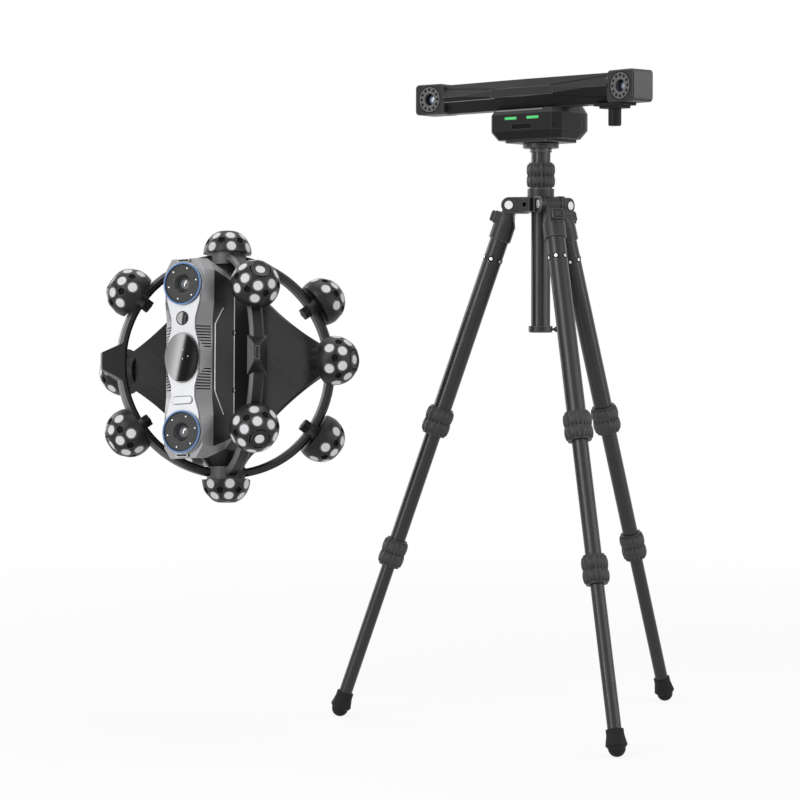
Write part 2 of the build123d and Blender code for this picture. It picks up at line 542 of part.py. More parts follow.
BASE_MIDDLE_Z = BASE_BOTTOM + BASE_HEIGHT / 2
base = base_body()
base_seam = Plane(origin=(0, BASE_SEAM_Y, 0), z_dir=(0, 1, 0))
bar = bar_middle()
bar_seam = Plane(origin=(0, BAR_FRONT_Y + BAR_SEAM, 0), z_dir=(0, 1, 0))
front_panel = Pos(0, BAR_FRONT_Y - PANEL_PROUD / 2, BAR_MIDDLE_Z + 2.5) * Box(
    PANEL_LENGTH, PANEL_PROUD, PANEL_HEIGHT)
bottom_plate = Pos(0, 0, BOTTOM_PLATE_BOTTOM + BOTTOM_PLATE_HEIGHT / 2) * Box(
    BOTTOM_PLATE_WIDTH, BOTTOM_PLATE_DEPTH, BOTTOM_PLATE_HEIGHT)
bottom_plate = fillet(bottom_plate.edges().filter_by(Axis.Z), 6)
bottom_plate -= disc(STUD_RADIUS + RUNNING_GAP, BOTTOM_PLATE_BOTTOM - 1, BOTTOM_PLATE_HEIGHT + 2)
power_button = Pos(POWER_BUTTON_X, BASE_DEPTH / 2 - POWER_BUTTON_DEPTH / 2 + 1, BASE_MIDDLE_Z) * Rot(
    90, 0, 0) * Cylinder(POWER_BUTTON_RADIUS, POWER_BUTTON_DEPTH)
tracker = {
    "tracker_bottom_plate": bottom_plate,
    "tracker_base_front": split(base, bisect_by=base_seam, keep=Keep.BOTTOM),
    "tracker_base_rear": split(base, bisect_by=base_seam, keep=Keep.TOP),
    "tracker_status_lights": status_lights(),
    "tracker_port_panel": port_panel(),
    "tracker_power_button": power_button,
    "tracker_bar_front": split(bar, bisect_by=bar_seam, keep=Keep.BOTTOM) + front_panel,
    "tracker_bar_rear": split(bar, bisect_by=bar_seam, keep=Keep.TOP),
    "tracker_left_camera": end_block_place(-1) * end_block(),
    "tracker_right_camera": end_block_place(1) * end_block(),
    "tracker_lens_rings": Compound(children=[end_block_place(s) * lens_ring() for s in (-1, 1)]),
    "tracker_lenses": Compound(children=[end_block_place(s) * bar_lens() for s in (-1, 1)]),
    "tracker_clamp": cable_clamp(),
}
for name, piece in tracker.items():
    nodes[name] = TRACKER_PLACE * piece

# Handheld scanner, in its own frame before it is turned, leaned and put in place
SCANNER_PLACE = COLUMN_PLACE * Pos(*SCANNER_FROM_COLUMN, SCANNER_HEIGHT) * Rot(
    SCANNER_LEAN, 0, 0) * Rot(0, 0, SCANNER_YAW)


def ball_directions():
    """Turn and elevation of every whole ball: four on each hoop and one at each side."""
    turns = [(azimuth, side * BALL_ELEVATION)
             for azimuth in (45, 135, 225, 315) for side in (1, -1)]
    return turns + [(90, 0), (270, 0)]


def outward(azimuth, elevation):
    """Frame on a ray from the cage centre: +Z points out, azimuth turns from the front to the right."""
    return Rot(0, 0, azimuth) * Rot(90 - elevation, 0, 0)


def hoop():
    """Bevelled ring about +Y, centred on the origin."""
    half, bevel = HOOP_WIDTH / 2, HOOP_BEVEL
    outline = Polyline(
        (HOOP_INNER, -half + bevel), (HOOP_INNER + bevel, -half), (HOOP_OUTER - bevel, -half),
        (HOOP_OUTER, -half + bevel), (HOOP_OUTER, half - bevel), (HOOP_OUTER - bevel, half),
        (HOOP_INNER + bevel, half), (HOOP_INNER, half - bevel), close=True)
    return revolve(make_face(outline), Axis.Y, 360)


def nose(shift):
    """Tapered boss on the front of a hoop, along +Z, its end shifted across."""
    wide = Plane.XY.offset(HOOP_INNER + 4) * Rectangle(NOSE_BASE_WIDTH, NOSE_BASE_HEIGHT)
    narrow = Pos(shift, 0, HOOP_OUTER + NOSE_REACH) * Rectangle(NOSE_END_WIDTH, NOSE_END_HEIGHT)
    return loft([wide, narrow], ruled=True)


def cage_frame():
    frame = Part()
    for azimuth in HOOP_AZIMUTHS:
        frame += Rot(0, 0, azimuth + 90) * hoop()
        frame += outward(azimuth, 0) * nose(-NOSE_SHIFT if azimuth > 0 else NOSE_SHIFT)
    pad_height = BALL_CENTRE - BALL_CUT - HOOP_INNER - 1
    for azimuth, elevation in ball_directions()[:8]:
        frame += outward(azimuth, elevation) * disc(BALL_PAD_RADIUS, HOOP_INNER + 1, pad_height)
    for side in (0, 180):
        frame += Rot(side, 0, 0) * disc(POLE_SEAT_RADIUS, POLE_SEAT_Z, POLE_BALL_Z - POLE_SEAT_Z)
        frame -= Rot(side, 0, 0) * disc(BALL_RADIUS + 2, POLE_BALL_Z, HOOP_OUTER)
    return frame


def ball_half_profile(radius, low, high):
    """Half outline of a sphere about the origin between two flats."""
    rim = (radius ** 2 - low ** 2) ** 0.5
    pole = (radius ** 2 - high ** 2) ** 0.5
    return make_face([
        Line((0, 0, low), (rim, 0, low)),
        ThreePointArc((rim, 0, low), (radius * cos(radians(28)), 0, radius * sin(radians(28))),
                      (pole, 0, high)),
        Line((pole, 0, high), (0, 0, high)),
        Line((0, 0, high), (0, 0, low)),
    ])


def marker_ball(cut):
    """Hollow ball about the origin, flat towards the hoop and at its outer pole."""
    wall = BALL_WALL
    ball = revolve(ball_half_profile(BALL_RADIUS, -cut, BALL_FLAT_HEIGHT), Axis.Z, 360)
    inside = ball_half_profile(BALL_RADIUS - wall, wall - cut, BALL_FLAT_HEIGHT - wall)
    screw_hole = disc(BALL_SCREW_RADIUS, -cut - 1, wall + 2)
    return ball - revolve(inside, Axis.Z, 360) - screw_hole


def marker_balls():
    balls = [outward(a, e) * Pos(0, 0, BALL_CENTRE) * marker_ball(BALL_CUT) for a, e in ball_directions()]
    balls += [outward(0, e) * Pos(0, 0, POLE_BALL_Z) * marker_ball(0) for e in (90, -90)]
    return Compound(children=balls)


def thumb_knobs():
    """Lobed knob inside the hoop behind each ball on it."""
    low = HOOP_INNER - FACE_GAP - KNOB_HEIGHT
    knob = disc(KNOB_RADIUS - 1.5, low, KNOB_HEIGHT)
    for lobe in range(KNOB_LOBES):
        knob += Rot(0, 0, 360 / KNOB_LOBES * lobe) * Pos(KNOB_RADIUS - 2.6, 0, 0) * disc(
            2.6, low, KNOB_HEIGHT)
    return Compound(children=[outward(a, e) * knob for a, e in ball_directions()[:8]])


def housing_outline(half_widths, y, half_height=HOUSING_HALF_HEIGHT, grow=0.0):
    """Front view of the housing at one depth: wide at both cameras and the window, waisted between."""
    end, shoulder, hip, waist, middle = half_widths
    levels = (
        (end, half_height), (shoulder, half_height - 13), (hip, CAMERA_Z - 20),
        (waist, WAIST_Z + 6), (waist, WAIST_Z - 6), (middle, 18.0))
    right = [(w + grow, z) for w, z in levels]
    right += [(w, -z) for w, z in reversed(right)]
    left = [(-w, z) for w, z in reversed(right)]
    return make_face(Polyline(*[(w, y, z) for w, z in right + left], close=True))


def front_plate():
    """Silver plate between the cameras, with a round end close about each ring."""
    inner = housing_outline(PLATE_HALF_WIDTHS, 0)
    plate = Pos(0, PLATE_FRONT_Y, 0) * extrude(inner, PLATE_DEPTH, dir=(0, 1, 0))
    plate &= Pos(0, PLATE_FRONT_Y, 0) * Box(4 * PLATE_END_RADIUS, 4 * PLATE_DEPTH, 2 * CAMERA_Z)
    for side in (-1, 1):
        camera = forward(0, side * CAMERA_Z, PLATE_FRONT_Y)
        plate += camera * disc(PLATE_END_RADIUS, -PLATE_DEPTH, PLATE_DEPTH)
        plate -= camera * disc(CAMERA_RING_RADIUS, -2 * PLATE_DEPTH, 3 * PLATE_DEPTH)
    return plate


def forward(x, z, y):
    """Frame on the front of the housing with +Z pointing at the viewer."""
    return Pos(x, y, z) * Rot(90, 0, 0)


def front_hull():
    return loft([
        housing_outline(PLATE_HALF_WIDTHS, PLATE_FRONT_Y + PLATE_DEPTH, grow=PLATE_MARGIN),
        housing_outline(BEVEL_HALF_WIDTHS, BEVEL_Y),
        housing_outline(REAR_HALF_WIDTHS, SEAM_Y, REAR_HALF_HEIGHT),
    ], ruled=True)


def rear_hull():
    return loft([
        housing_outline(REAR_HALF_WIDTHS, SEAM_Y, REAR_HALF_HEIGHT),
        housing_outline(REAR_HALF_WIDTHS, HOUSING_REAR_Y - REAR_BEVEL, REAR_HALF_HEIGHT),
        housing_outline(REAR_FACE_HALF_WIDTHS, HOUSING_REAR_Y, REAR_HALF_HEIGHT - REAR_BEVEL / 2),
    ], ruled=True)


def housing_front():
    wall = HOUSING_WALL
    inner_height = HOUSING_HALF_HEIGHT - wall
    shell = front_hull() - loft([
        housing_outline(PLATE_HALF_WIDTHS, PLATE_FRONT_Y + PLATE_DEPTH + wall, inner_height, -wall),
        housing_outline(BEVEL_HALF_WIDTHS, BEVEL_Y, inner_height, -wall),
        housing_outline(REAR_HALF_WIDTHS, SEAM_Y, REAR_HALF_HEIGHT - wall, -wall),
    ], ruled=True)
    face_y = PLATE_FRONT_Y + PLATE_DEPTH
    for side in (-1, 1):
        tab = extrude(SlotOverall(HOUSING_TAB_LENGTH, HOUSING_TAB_HEIGHT), HOUSING_TAB_PROUD + wall)
        shell += forward(0, side * HOUSING_TAB_Z, face_y + wall) * tab
        for slot in range(VENT_SLOTS):
            z = side * (VENT_START_Z + VENT_PITCH * slot)
            reach = VENT_SHORTEST + min(slot, VENT_GROWING) * VENT_STEP
            for edge in (-1, 1):
                at = Pos(edge * (VENT_OUTER_X - reach / 2), (face_y + BEVEL_Y) / 2, z)
                shell -= at * Box(reach, VENT_DEPTH, VENT_HEIGHT)
    return shell


def housing_rear():
    wall = HOUSING_WALL
    room_height = REAR_HALF_HEIGHT - REAR_BEVEL / 2 - wall
    return rear_hull() - loft([
        housing_outline(REAR_HALF_WIDTHS, SEAM_Y, REAR_HALF_HEIGHT - wall, -wall),
        housing_outline(REAR_FACE_HALF_WIDTHS, HOUSING_REAR_Y - wall, room_height, -wall),
    ], ruled=True)


def camera_module():
    """Round camera face along +Z with a stepped well round its lens."""
    front = CAMERA_PROUD
    well = front - CAMERA_WELL_DEPTH
    return turned(
        (0, -PLATE_DEPTH), (CAMERA_RADIUS, -PLATE_DEPTH), (CAMERA_RADIUS, front - 0.8),
        (CAMERA_RADIUS - 0.8, front), (CAMERA_WELL_RADIUS, front),
        (CAMERA_LENS_RADIUS + 1.2, well + 1.5), (CAMERA_LENS_RADIUS + 1.2, well), (0, well))


def camera_ring():
    low, high = -PLATE_DEPTH, CAMERA_PROUD + 0.8
    return turned((CAMERA_RADIUS, low), (CAMERA_RING_RADIUS, low), (CAMERA_RING_RADIUS, high - 0.8),
                  (CAMERA_RING_RADIUS - 0.8, high), (CAMERA_RADIUS, high))


def lens_dome(radius, base, bulge):
    """Cap of glass: flat below, domed on top."""
    curve = (radius ** 2 + bulge ** 2) / (2 * bulge)
    dome = Pos(0, 0, base + bulge - curve) * Sphere(curve)
    return dome & (Pos(0, 0, base + bulge / 2) * Box(3 * radius, 3 * radius, bulge))


def window():
    glass = extrude(Ellipse(WINDOW_HALF_WIDTH, WINDOW_HALF_HEIGHT), WINDOW_PROUD)
    return chamfer(glass.edges().group_by(Axis.Z)[-1], 0.9)


def wing(side):
    """Web with concave edges from the housing out to the round node under a side ball."""
    root, tip = WING_ROOT_HALF_HEIGHT, WING_TIP_HALF_HEIGHT
    start = REAR_HALF_WIDTHS[2] - 6
    end = BALL_CENTRE - BALL_CUT - 4
    sag = ((start + end) / 2, (root + tip) / 2 - WING_SAG)
    face = make_face([
        Line((start, 0, -root), (start, 0, root)),
        ThreePointArc((start, 0, root), (sag[0], 0, sag[1]), (end, 0, tip)),
        Line((end, 0, tip), (end, 0, -tip)),
        ThreePointArc((end, 0, -tip), (sag[0], 0, -sag[1]), (start, 0, -root)),
    ])
    web = Pos(0, HOUSING_REAR_Y, 0) * extrude(face, WING_THICKNESS, dir=(0, 1, 0))
    web += outward(90, 0) * disc(WING_NODE_RADIUS, end - 10, 14)
    return web if side > 0 else mirror(web, about=Plane.YZ)


def saddle_body():
    """Hipped body with hollow flanks between the housing and a crossing of the hoops."""
    tip = SADDLE_TIP_HALF_WIDTH
    sections = []
    for share, sag in ((0, 0), (0.5, SADDLE_SAG), (1, 0)):
        half = SADDLE_ROOT_HALF_WIDTH * (1 - share) + tip * share - sag
        front = SADDLE_FRONT_Y * (1 - share) - tip * share + sag
        rear = SADDLE_REAR_Y * (1 - share) + tip * share - sag
        corner = SADDLE_CORNER * (1 - share) + SADDLE_TIP_CORNER * share
        at = Pos(0, (front + rear) / 2, SADDLE_ROOT_Z * (1 - share) + POLE_SEAT_Z * share)
        sections.append(at * RectangleRounded(2 * half, rear - front, corner))
    return loft(sections)


def saddle(side):
    """Hollow mount that closes over the end of the housing and carries the crossing of the hoops."""
    body = saddle_body()
    floor = Pos(0, 0, SADDLE_ROOT_Z + SADDLE_WALL / 2) * Box(
        4 * SADDLE_ROOT_HALF_WIDTH, 4 * SADDLE_ROOT_HALF_WIDTH, SADDLE_WALL)
    room = Pos(0, 0, -SADDLE_WALL) * body - floor
    shell = body - room - front_hull() - rear_hull() - wing(1) - wing(-1)
    return shell if side > 0 else mirror(shell, about=Plane.XY)


def grip():
    """Upright handle behind the housing, on an arm at each end."""
    bar_height = 2 * GRIP_HALF_HEIGHT
    handle = Pos(0, GRIP_Y, 0) * Box(GRIP_WIDTH, GRIP_DEPTH, bar_height)
    handle = fillet(handle.edges().filter_by(Axis.Z), 11)
    reach = GRIP_Y - HOUSING_REAR_Y
    for side in (-1, 1):
        z = side * (GRIP_HALF_HEIGHT - GRIP_ARM_HEIGHT / 2)
        arm = Pos(0, HOUSING_REAR_Y + reach / 2, z) * Box(GRIP_WIDTH - 6, reach, GRIP_ARM_HEIGHT)
        handle += fillet(arm.edges().filter_by(Axis.Y), 5)
    inner = Pos(0, GRIP_INNER_Y, SCAN_BUTTON_Z) * Rot(90, 0, 0)
    pocket = BUTTON_DEPTH + SCAN_BUTTON_TRAVEL
    handle -= inner * disc(SCAN_BUTTON_RADIUS + SLOT_GAP, -pocket, 2 * pocket)
    pocket = BUTTON_DEPTH + MODE_BUTTON_TRAVEL
    handle -= Pos(0, GRIP_OUTER_Y - pocket / 2, SCAN_BUTTON_Z) * Box(
        MODE_BUTTON_WIDTH + 2 * SLOT_GAP, pocket, MODE_BUTTON_HEIGHT + 2 * SLOT_GAP)
    return handle


def scan_button():
    return Pos(0, GRIP_INNER_Y, SCAN_BUTTON_Z) * Rot(90, 0, 0) * disc(
        SCAN_BUTTON_RADIUS, -BUTTON_DEPTH, BUTTON_DEPTH + SCAN_BUTTON_TRAVEL + 0.5)


def mode_button():
    proud = MODE_BUTTON_TRAVEL + 0.5
    depth = BUTTON_DEPTH + proud
    at = Pos(0, GRIP_OUTER_Y + proud - depth / 2, SCAN_BUTTON_Z)
    button = Box(MODE_BUTTON_WIDTH, depth, MODE_BUTTON_HEIGHT)
    return at * fillet(button.edges().filter_by(Axis.Y), 3)


BALL_CENTRE = HOOP_OUTER + BALL_SEAT_PROUD + BALL_CUT
GRIP_INNER_Y = GRIP_Y - GRIP_DEPTH / 2
GRIP_OUTER_Y = GRIP_Y + GRIP_DEPTH / 2
cameras = [forward(0, side * CAMERA_Z, PLATE_FRONT_Y) for side in (-1, 1)]
window_at = forward(0, 0, PLATE_FRONT_Y)
pill = forward(0, PILL_Z, PLATE_FRONT_Y) * extrude(SlotOverall(PILL_LENGTH, PILL_HEIGHT), PILL_PROUD)
scanner = {
    "scanner_front_plate": front_plate(),
    "scanner_housing_front": housing_front(),
    "scanner_housing_rear": housing_rear(),
    "scanner_camera_rings": Compound(children=[c * camera_ring() for c in cameras]),
    "scanner_cameras": Compound(children=[c * camera_module() for c in cameras]),
    "scanner_camera_lenses": Compound(children=[
        c * lens_dome(CAMERA_LENS_RADIUS, CAMERA_PROUD - CAMERA_WELL_DEPTH, 2.0) for c in cameras]),
    "scanner_window": window_at * window(),
    "scanner_aiming_lens": forward(0, AIMING_LENS_Z, PLATE_FRONT_Y) * lens_dome(AIMING_LENS_RADIUS, 0, 1.0),
    "scanner_status_pill": pill,
    "scanner_cage_frame": cage_frame(),
    "scanner_marker_balls": marker_balls(),
    "scanner_thumb_knobs": thumb_knobs(),
    "scanner_side_wings": Compound(children=[wing(-1), wing(1)]),
    "scanner_pole_saddles": Compound(children=[saddle(1), saddle(-1)]),
    "scanner_grip": grip(),
    "scanner_scan_button": scan_button(),
    "scanner_mode_button": mode_button(),
}
for name, piece in scanner.items():
    nodes[name] = SCANNER_PLACE * piece

# Write every piece to its own file
os.makedirs("parts", exist_ok=True)
for name, shape in nodes.items():
    export_step(shape, f"parts/{name}.step")
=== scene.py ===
import bpy
import bmesh
import json
import math
from mathutils import Matrix, Vector
from mathutils.bvhtree import BVHTree


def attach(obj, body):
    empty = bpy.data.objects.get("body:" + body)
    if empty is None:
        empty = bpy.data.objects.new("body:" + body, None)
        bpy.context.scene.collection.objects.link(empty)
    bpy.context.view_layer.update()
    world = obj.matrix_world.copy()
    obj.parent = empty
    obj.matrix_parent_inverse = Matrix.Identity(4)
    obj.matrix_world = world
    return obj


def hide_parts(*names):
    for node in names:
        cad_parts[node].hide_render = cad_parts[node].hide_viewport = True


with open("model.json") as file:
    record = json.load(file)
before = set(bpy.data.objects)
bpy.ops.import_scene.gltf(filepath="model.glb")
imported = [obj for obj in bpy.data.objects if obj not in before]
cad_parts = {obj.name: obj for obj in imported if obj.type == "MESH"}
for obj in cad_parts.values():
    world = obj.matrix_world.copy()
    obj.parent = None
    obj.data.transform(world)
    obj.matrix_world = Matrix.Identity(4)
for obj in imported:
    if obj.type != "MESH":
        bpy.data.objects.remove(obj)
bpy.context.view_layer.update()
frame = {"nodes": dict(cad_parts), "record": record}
print("frame loaded:", len(frame["nodes"]), "nodes")

mm = 0.001


# Camera, floor and lights
cameraSettings = {
    "place": (0.0097, -3.1, 0.4975),
    "pitchDown": 1.97,
    "lens": 117.3,
    "sensor": 36.0,
    "seesTo": 60.0,
}
floorSettings = {"size": 80.0, "color": (0.86, 0.86, 0.86), "whiteNear": 0.86, "nearTo": 0.5, "whiteFrom": 2.6}
worldSettings = {"strength": 0.3, "tint": (0.97, 0.98, 1.0), "white": 1.0}
lampSettings = [
    # name, place, aim, size, watts
    ("keyLamp", (-1.6, -2.2, 2.3), (0.0, 0.0, 0.45), (1.4, 1.8), 34.0),
    ("fillLamp", (2.3, -1.9, 1.2), (0.1, 0.0, 0.45), (1.2, 2.2), 17.0),
    ("topLamp", (0.2, 0.2, 2.6), (0.0, 0.0, 0.4), (2.2, 1.6), 22.0),
    ("rimLamp", (-1.9, 1.7, 1.3), (0.0, 0.0, 0.45), (0.8, 2.0), 16.0),
    ("leftStrip", (-1.9, -1.7, 0.6), (0.0, 0.0, 0.4), (0.3, 1.7), 20.0),
    ("rightStrip", (2.0, -0.5, 0.6), (0.1, 0.0, 0.4), (0.35, 1.7), 9.0),
]


def addCamera(settings):
    camera = bpy.data.cameras.new("camera")
    camera.lens = settings["lens"]
    camera.sensor_width = settings["sensor"]
    camera.clip_end = settings["seesTo"]
    holder = bpy.data.objects.new("camera", camera)
    holder.location = settings["place"]
    holder.rotation_euler = (math.radians(90 - settings["pitchDown"]), 0, 0)
    bpy.context.scene.collection.objects.link(holder)
    bpy.context.scene.camera = holder


# White for the camera and in mirror and glass, plain and dimmer as light on the object
def whiteSeen(nodes, links, fade=None):
    path = nodes.new("ShaderNodeLightPath")
    shiny = nodes.new("ShaderNodeMath")
    shiny.operation = "MAXIMUM"
    links.new(path.outputs["Is Glossy Ray"], shiny.inputs[0])
    links.new(path.outputs["Is Transmission Ray"], shiny.inputs[1])
    seen = nodes.new("ShaderNodeMath")
    seen.operation = "MAXIMUM"
    links.new(path.outputs["Is Camera Ray"], seen.inputs[0])
    links.new(shiny.outputs[0], seen.inputs[1])
    if fade is None:
        return seen.outputs[0]
    scale = nodes.new("ShaderNodeMath")
    scale.operation = "MULTIPLY"
    links.new(seen.outputs[0], scale.inputs[0])
    links.new(fade, scale.inputs[1])
    return scale.outputs[0]


def addFloor(settings):
    bpy.ops.mesh.primitive_plane_add(size=settings["size"], location=(0, 0, 0))
    floor = bpy.context.object
    floor.name = "studioFloor"
    material = bpy.data.materials.new("studioFloor")
    material.use_nodes = True
    nodes, links = material.node_tree.nodes, material.node_tree.links
    nodes.clear()
    output = nodes.new("ShaderNodeOutputMaterial")
    mix = nodes.new("ShaderNodeMixShader")
    diffuse = nodes.new("ShaderNodeBsdfDiffuse")
    diffuse.inputs["Color"].default_value = (*settings["color"], 1)
    glow = nodes.new("ShaderNodeEmission")
    glow.inputs["Color"].default_value = (1, 1, 1, 1)
    where = nodes.new("ShaderNodeTexCoord")
    away = nodes.new("ShaderNodeVectorMath")
    away.operation = "LENGTH"
    links.new(where.outputs["Object"], away.inputs[0])
    fade = nodes.new("ShaderNodeMapRange")
    fade.interpolation_type = "SMOOTHSTEP"
    fade.inputs["From Min"].default_value = settings["nearTo"]
    fade.inputs["From Max"].default_value = settings["whiteFrom"]
    fade.inputs["To Min"].default_value = settings["whiteNear"]
    links.new(away.outputs["Value"], fade.inputs["Value"])
    links.new(whiteSeen(nodes, links, fade.outputs[0]), mix.inputs["Fac"])
    links.new(diffuse.outputs[0], mix.inputs[1])
    links.new(glow.outputs[0], mix.inputs[2])
    links.new(mix.outputs[0], output.inputs["Surface"])
    floor.data.materials.append(material)


def addWorld(settings):
    world = bpy.data.worlds.new("studioWorld")
    world.use_nodes = True
    nodes, links = world.node_tree.nodes, world.node_tree.links
    nodes.clear()
    output = nodes.new("ShaderNodeOutputWorld")
    mix = nodes.new("ShaderNodeMixShader")
    dim = nodes.new("ShaderNodeBackground")
    dim.inputs["Color"].default_value = (*settings["tint"], 1)
    dim.inputs["Strength"].default_value = settings["strength"]
    white = nodes.new("ShaderNodeBackground")
    white.inputs["Color"].default_value = (1, 1, 1, 1)
    white.inputs["Strength"].default_value = settings["white"]
    links.new(whiteSeen(nodes, links), mix.inputs["Fac"])
    links.new(dim.outputs[0], mix.inputs[1])
    links.new(white.outputs[0], mix.inputs[2])
    links.new(mix.outputs[0], output.inputs["Surface"])
    bpy.context.scene.world = world


def addLamps(settings):
    for name, place, aim, size, watts in settings:
        lamp = bpy.data.lights.new(name, "AREA")
        lamp.shape = "RECTANGLE"
        lamp.size, lamp.size_y = size
        lamp.energy = watts
        holder = bpy.data.objects.new(name, lamp)
        holder.location = place
        holder.rotation_euler = (Vector(aim) - Vector(place)).to_track_quat("-Z", "Y").to_euler()
        bpy.context.scene.collection.objects.link(holder)


bpy.context.scene.view_settings.view_transform = "Standard"
addCamera(cameraSettings)
addFloor(floorSettings)
addWorld(worldSettings)
addLamps(lampSettings)
print("camera, floor and lights are in place")


# Places of the two units, the same as the solids have, in millimetres and degrees
places = {
    "column": (178.3, 27.5), "scannerFromColumn": (-377.0, 10.0), "scannerHeight": 430.0,
    "scannerYaw": -25.5, "scannerLean": -7.5, "trackerYaw": -43.0,
    "legHeadings": (167.1, 287.1, 47.1), "legSplay": 19.1, "pivotRadius": 36.0, "legLength": 659.0, "footTip": 10.0,
}


# Shader groups that several finishes share
def newGroup(name, inputs, outputs):
    group = bpy.data.node_groups.new(name, "ShaderNodeTree")
    for label, kind, value in inputs:
        socket = group.interface.new_socket(label, in_out="INPUT", socket_type=kind)
        socket.default_value = value
    for label, kind in outputs:
        group.interface.new_socket(label, in_out="OUTPUT", socket_type=kind)
    enter = group.nodes.new("NodeGroupInput")
    leave = group.nodes.new("NodeGroupOutput")
    return group, enter, leave


# Moulded or anodised grain: cloudy tone over the piece, fine speckle and a height for bump
grainSettings = {
    "cloudScale": 14.0, "cloudDetail": 3.0, "grainDetail": 2.0, "cloudFrom": 0.35, "cloudTo": 0.75, "roughSpread": 0.14,
}


def buildGrainGroup(settings):
    group, enter, leave = newGroup("surfaceGrain", [
        ("Color", "NodeSocketColor", (0.1, 0.1, 0.1, 1)),
        ("Cloud Amount", "NodeSocketFloat", 0.2),
        ("Speckle Amount", "NodeSocketFloat", 0.1),
        ("Grain Scale", "NodeSocketFloat", 900.0),
        ("Roughness", "NodeSocketFloat", 0.45),
    ], [("Color", "NodeSocketColor"), ("Roughness", "NodeSocketFloat"), ("Height", "NodeSocketFloat")])
    nodes, links = group.nodes, group.links
    where = nodes.new("ShaderNodeTexCoord")
    cloud = nodes.new("ShaderNodeTexNoise")
    cloud.inputs["Scale"].default_value = settings["cloudScale"]
    cloud.inputs["Detail"].default_value = settings["cloudDetail"]
    grain = nodes.new("ShaderNodeTexNoise")
    grain.inputs["Detail"].default_value = settings["grainDetail"]
    links.new(where.outputs["Object"], cloud.inputs["Vector"])
    links.new(where.outputs["Object"], grain.inputs["Vector"])
    links.new(enter.outputs["Grain Scale"], grain.inputs["Scale"])
    tone = nodes.new("ShaderNodeMapRange")
    tone.inputs["To Min"].default_value = 1.0
    links.new(cloud.outputs["Fac"], tone.inputs["Value"])
    tone.inputs["From Min"].default_value = settings["cloudFrom"]
    tone.inputs["From Max"].default_value = settings["cloudTo"]
    less = nodes.new("ShaderNodeMath")
    less.operation = "SUBTRACT"
    less.inputs[0].default_value = 1.0
    links.new(enter.outputs["Cloud Amount"], less.inputs[1])
    links.new(less.outputs[0], tone.inputs["To Max"])
    speck = nodes.new("ShaderNodeMath")
    speck.operation = "MULTIPLY_ADD"
    links.new(grain.outputs["Fac"], speck.inputs[0])
    links.new(enter.outputs["Speckle Amount"], speck.inputs[1])
    links.new(tone.outputs[0], speck.inputs[2])
    scaled = nodes.new("ShaderNodeVectorMath")
    scaled.operation = "SCALE"
    links.new(enter.outputs["Color"], scaled.inputs[0])
    links.new(speck.outputs[0], scaled.inputs["Scale"])
    links.new(scaled.outputs[0], leave.inputs["Color"])
    rough = nodes.new("ShaderNodeMath")
    rough.operation = "MULTIPLY_ADD"
    rough.inputs[1].default_value = settings["roughSpread"]
    links.new(cloud.outputs["Fac"], rough.inputs[0])
    links.new(enter.outputs["Roughness"], rough.inputs[2])
    links.new(rough.outputs[0], leave.inputs["Roughness"])
    links.new(grain.outputs["Fac"], leave.inputs["Height"])
    return group


# Lighter on edges, found from the bevelled normal: partly wear, partly a painted highlight where an edge catches the
# light
edgeSettings = {"samples": 4, "radius": 0.0009, "flatDot": 0.99, "edgeDot": 0.8}


def buildEdgeGroup(settings):
    group, enter, leave = newGroup("edgeWearAndHighlight", [
        ("Color", "NodeSocketColor", (0.1, 0.1, 0.1, 1)),
        ("Edge Color", "NodeSocketColor", (0.4, 0.4, 0.4, 1)),
        ("Amount", "NodeSocketFloat", 0.5),
    ], [("Color", "NodeSocketColor")])
    nodes, links = group.nodes, group.links
    bevel = nodes.new("ShaderNodeBevel")
    bevel.samples = settings["samples"]
    bevel.inputs["Radius"].default_value = settings["radius"]
    shape = nodes.new("ShaderNodeNewGeometry")
    along = nodes.new("ShaderNodeVectorMath")
    along.operation = "DOT_PRODUCT"
    links.new(bevel.outputs[0], along.inputs[0])
    links.new(shape.outputs["Normal"], along.inputs[1])
    edge = nodes.new("ShaderNodeMapRange")
    edge.inputs["From Min"].default_value = settings["flatDot"]
    edge.inputs["From Max"].default_value = settings["edgeDot"]
    links.new(along.outputs["Value"], edge.inputs["Value"])
    strength = nodes.new("ShaderNodeMath")
    strength.operation = "MULTIPLY"
    links.new(edge.outputs[0], strength.inputs[0])
    links.new(enter.outputs["Amount"], strength.inputs[1])
    mix = nodes.new("ShaderNodeMix")
    mix.data_type = "RGBA"
    links.new(strength.outputs[0], mix.inputs["Factor"])
    links.new(enter.outputs["Color"], mix.inputs[6])
    links.new(enter.outputs["Edge Color"], mix.inputs[7])
    links.new(mix.outputs[2], leave.inputs["Color"])
    return group


grainGroup = buildGrainGroup(grainSettings)
edgeGroup = buildEdgeGroup(edgeSettings)
bumpDistance = 0.0004

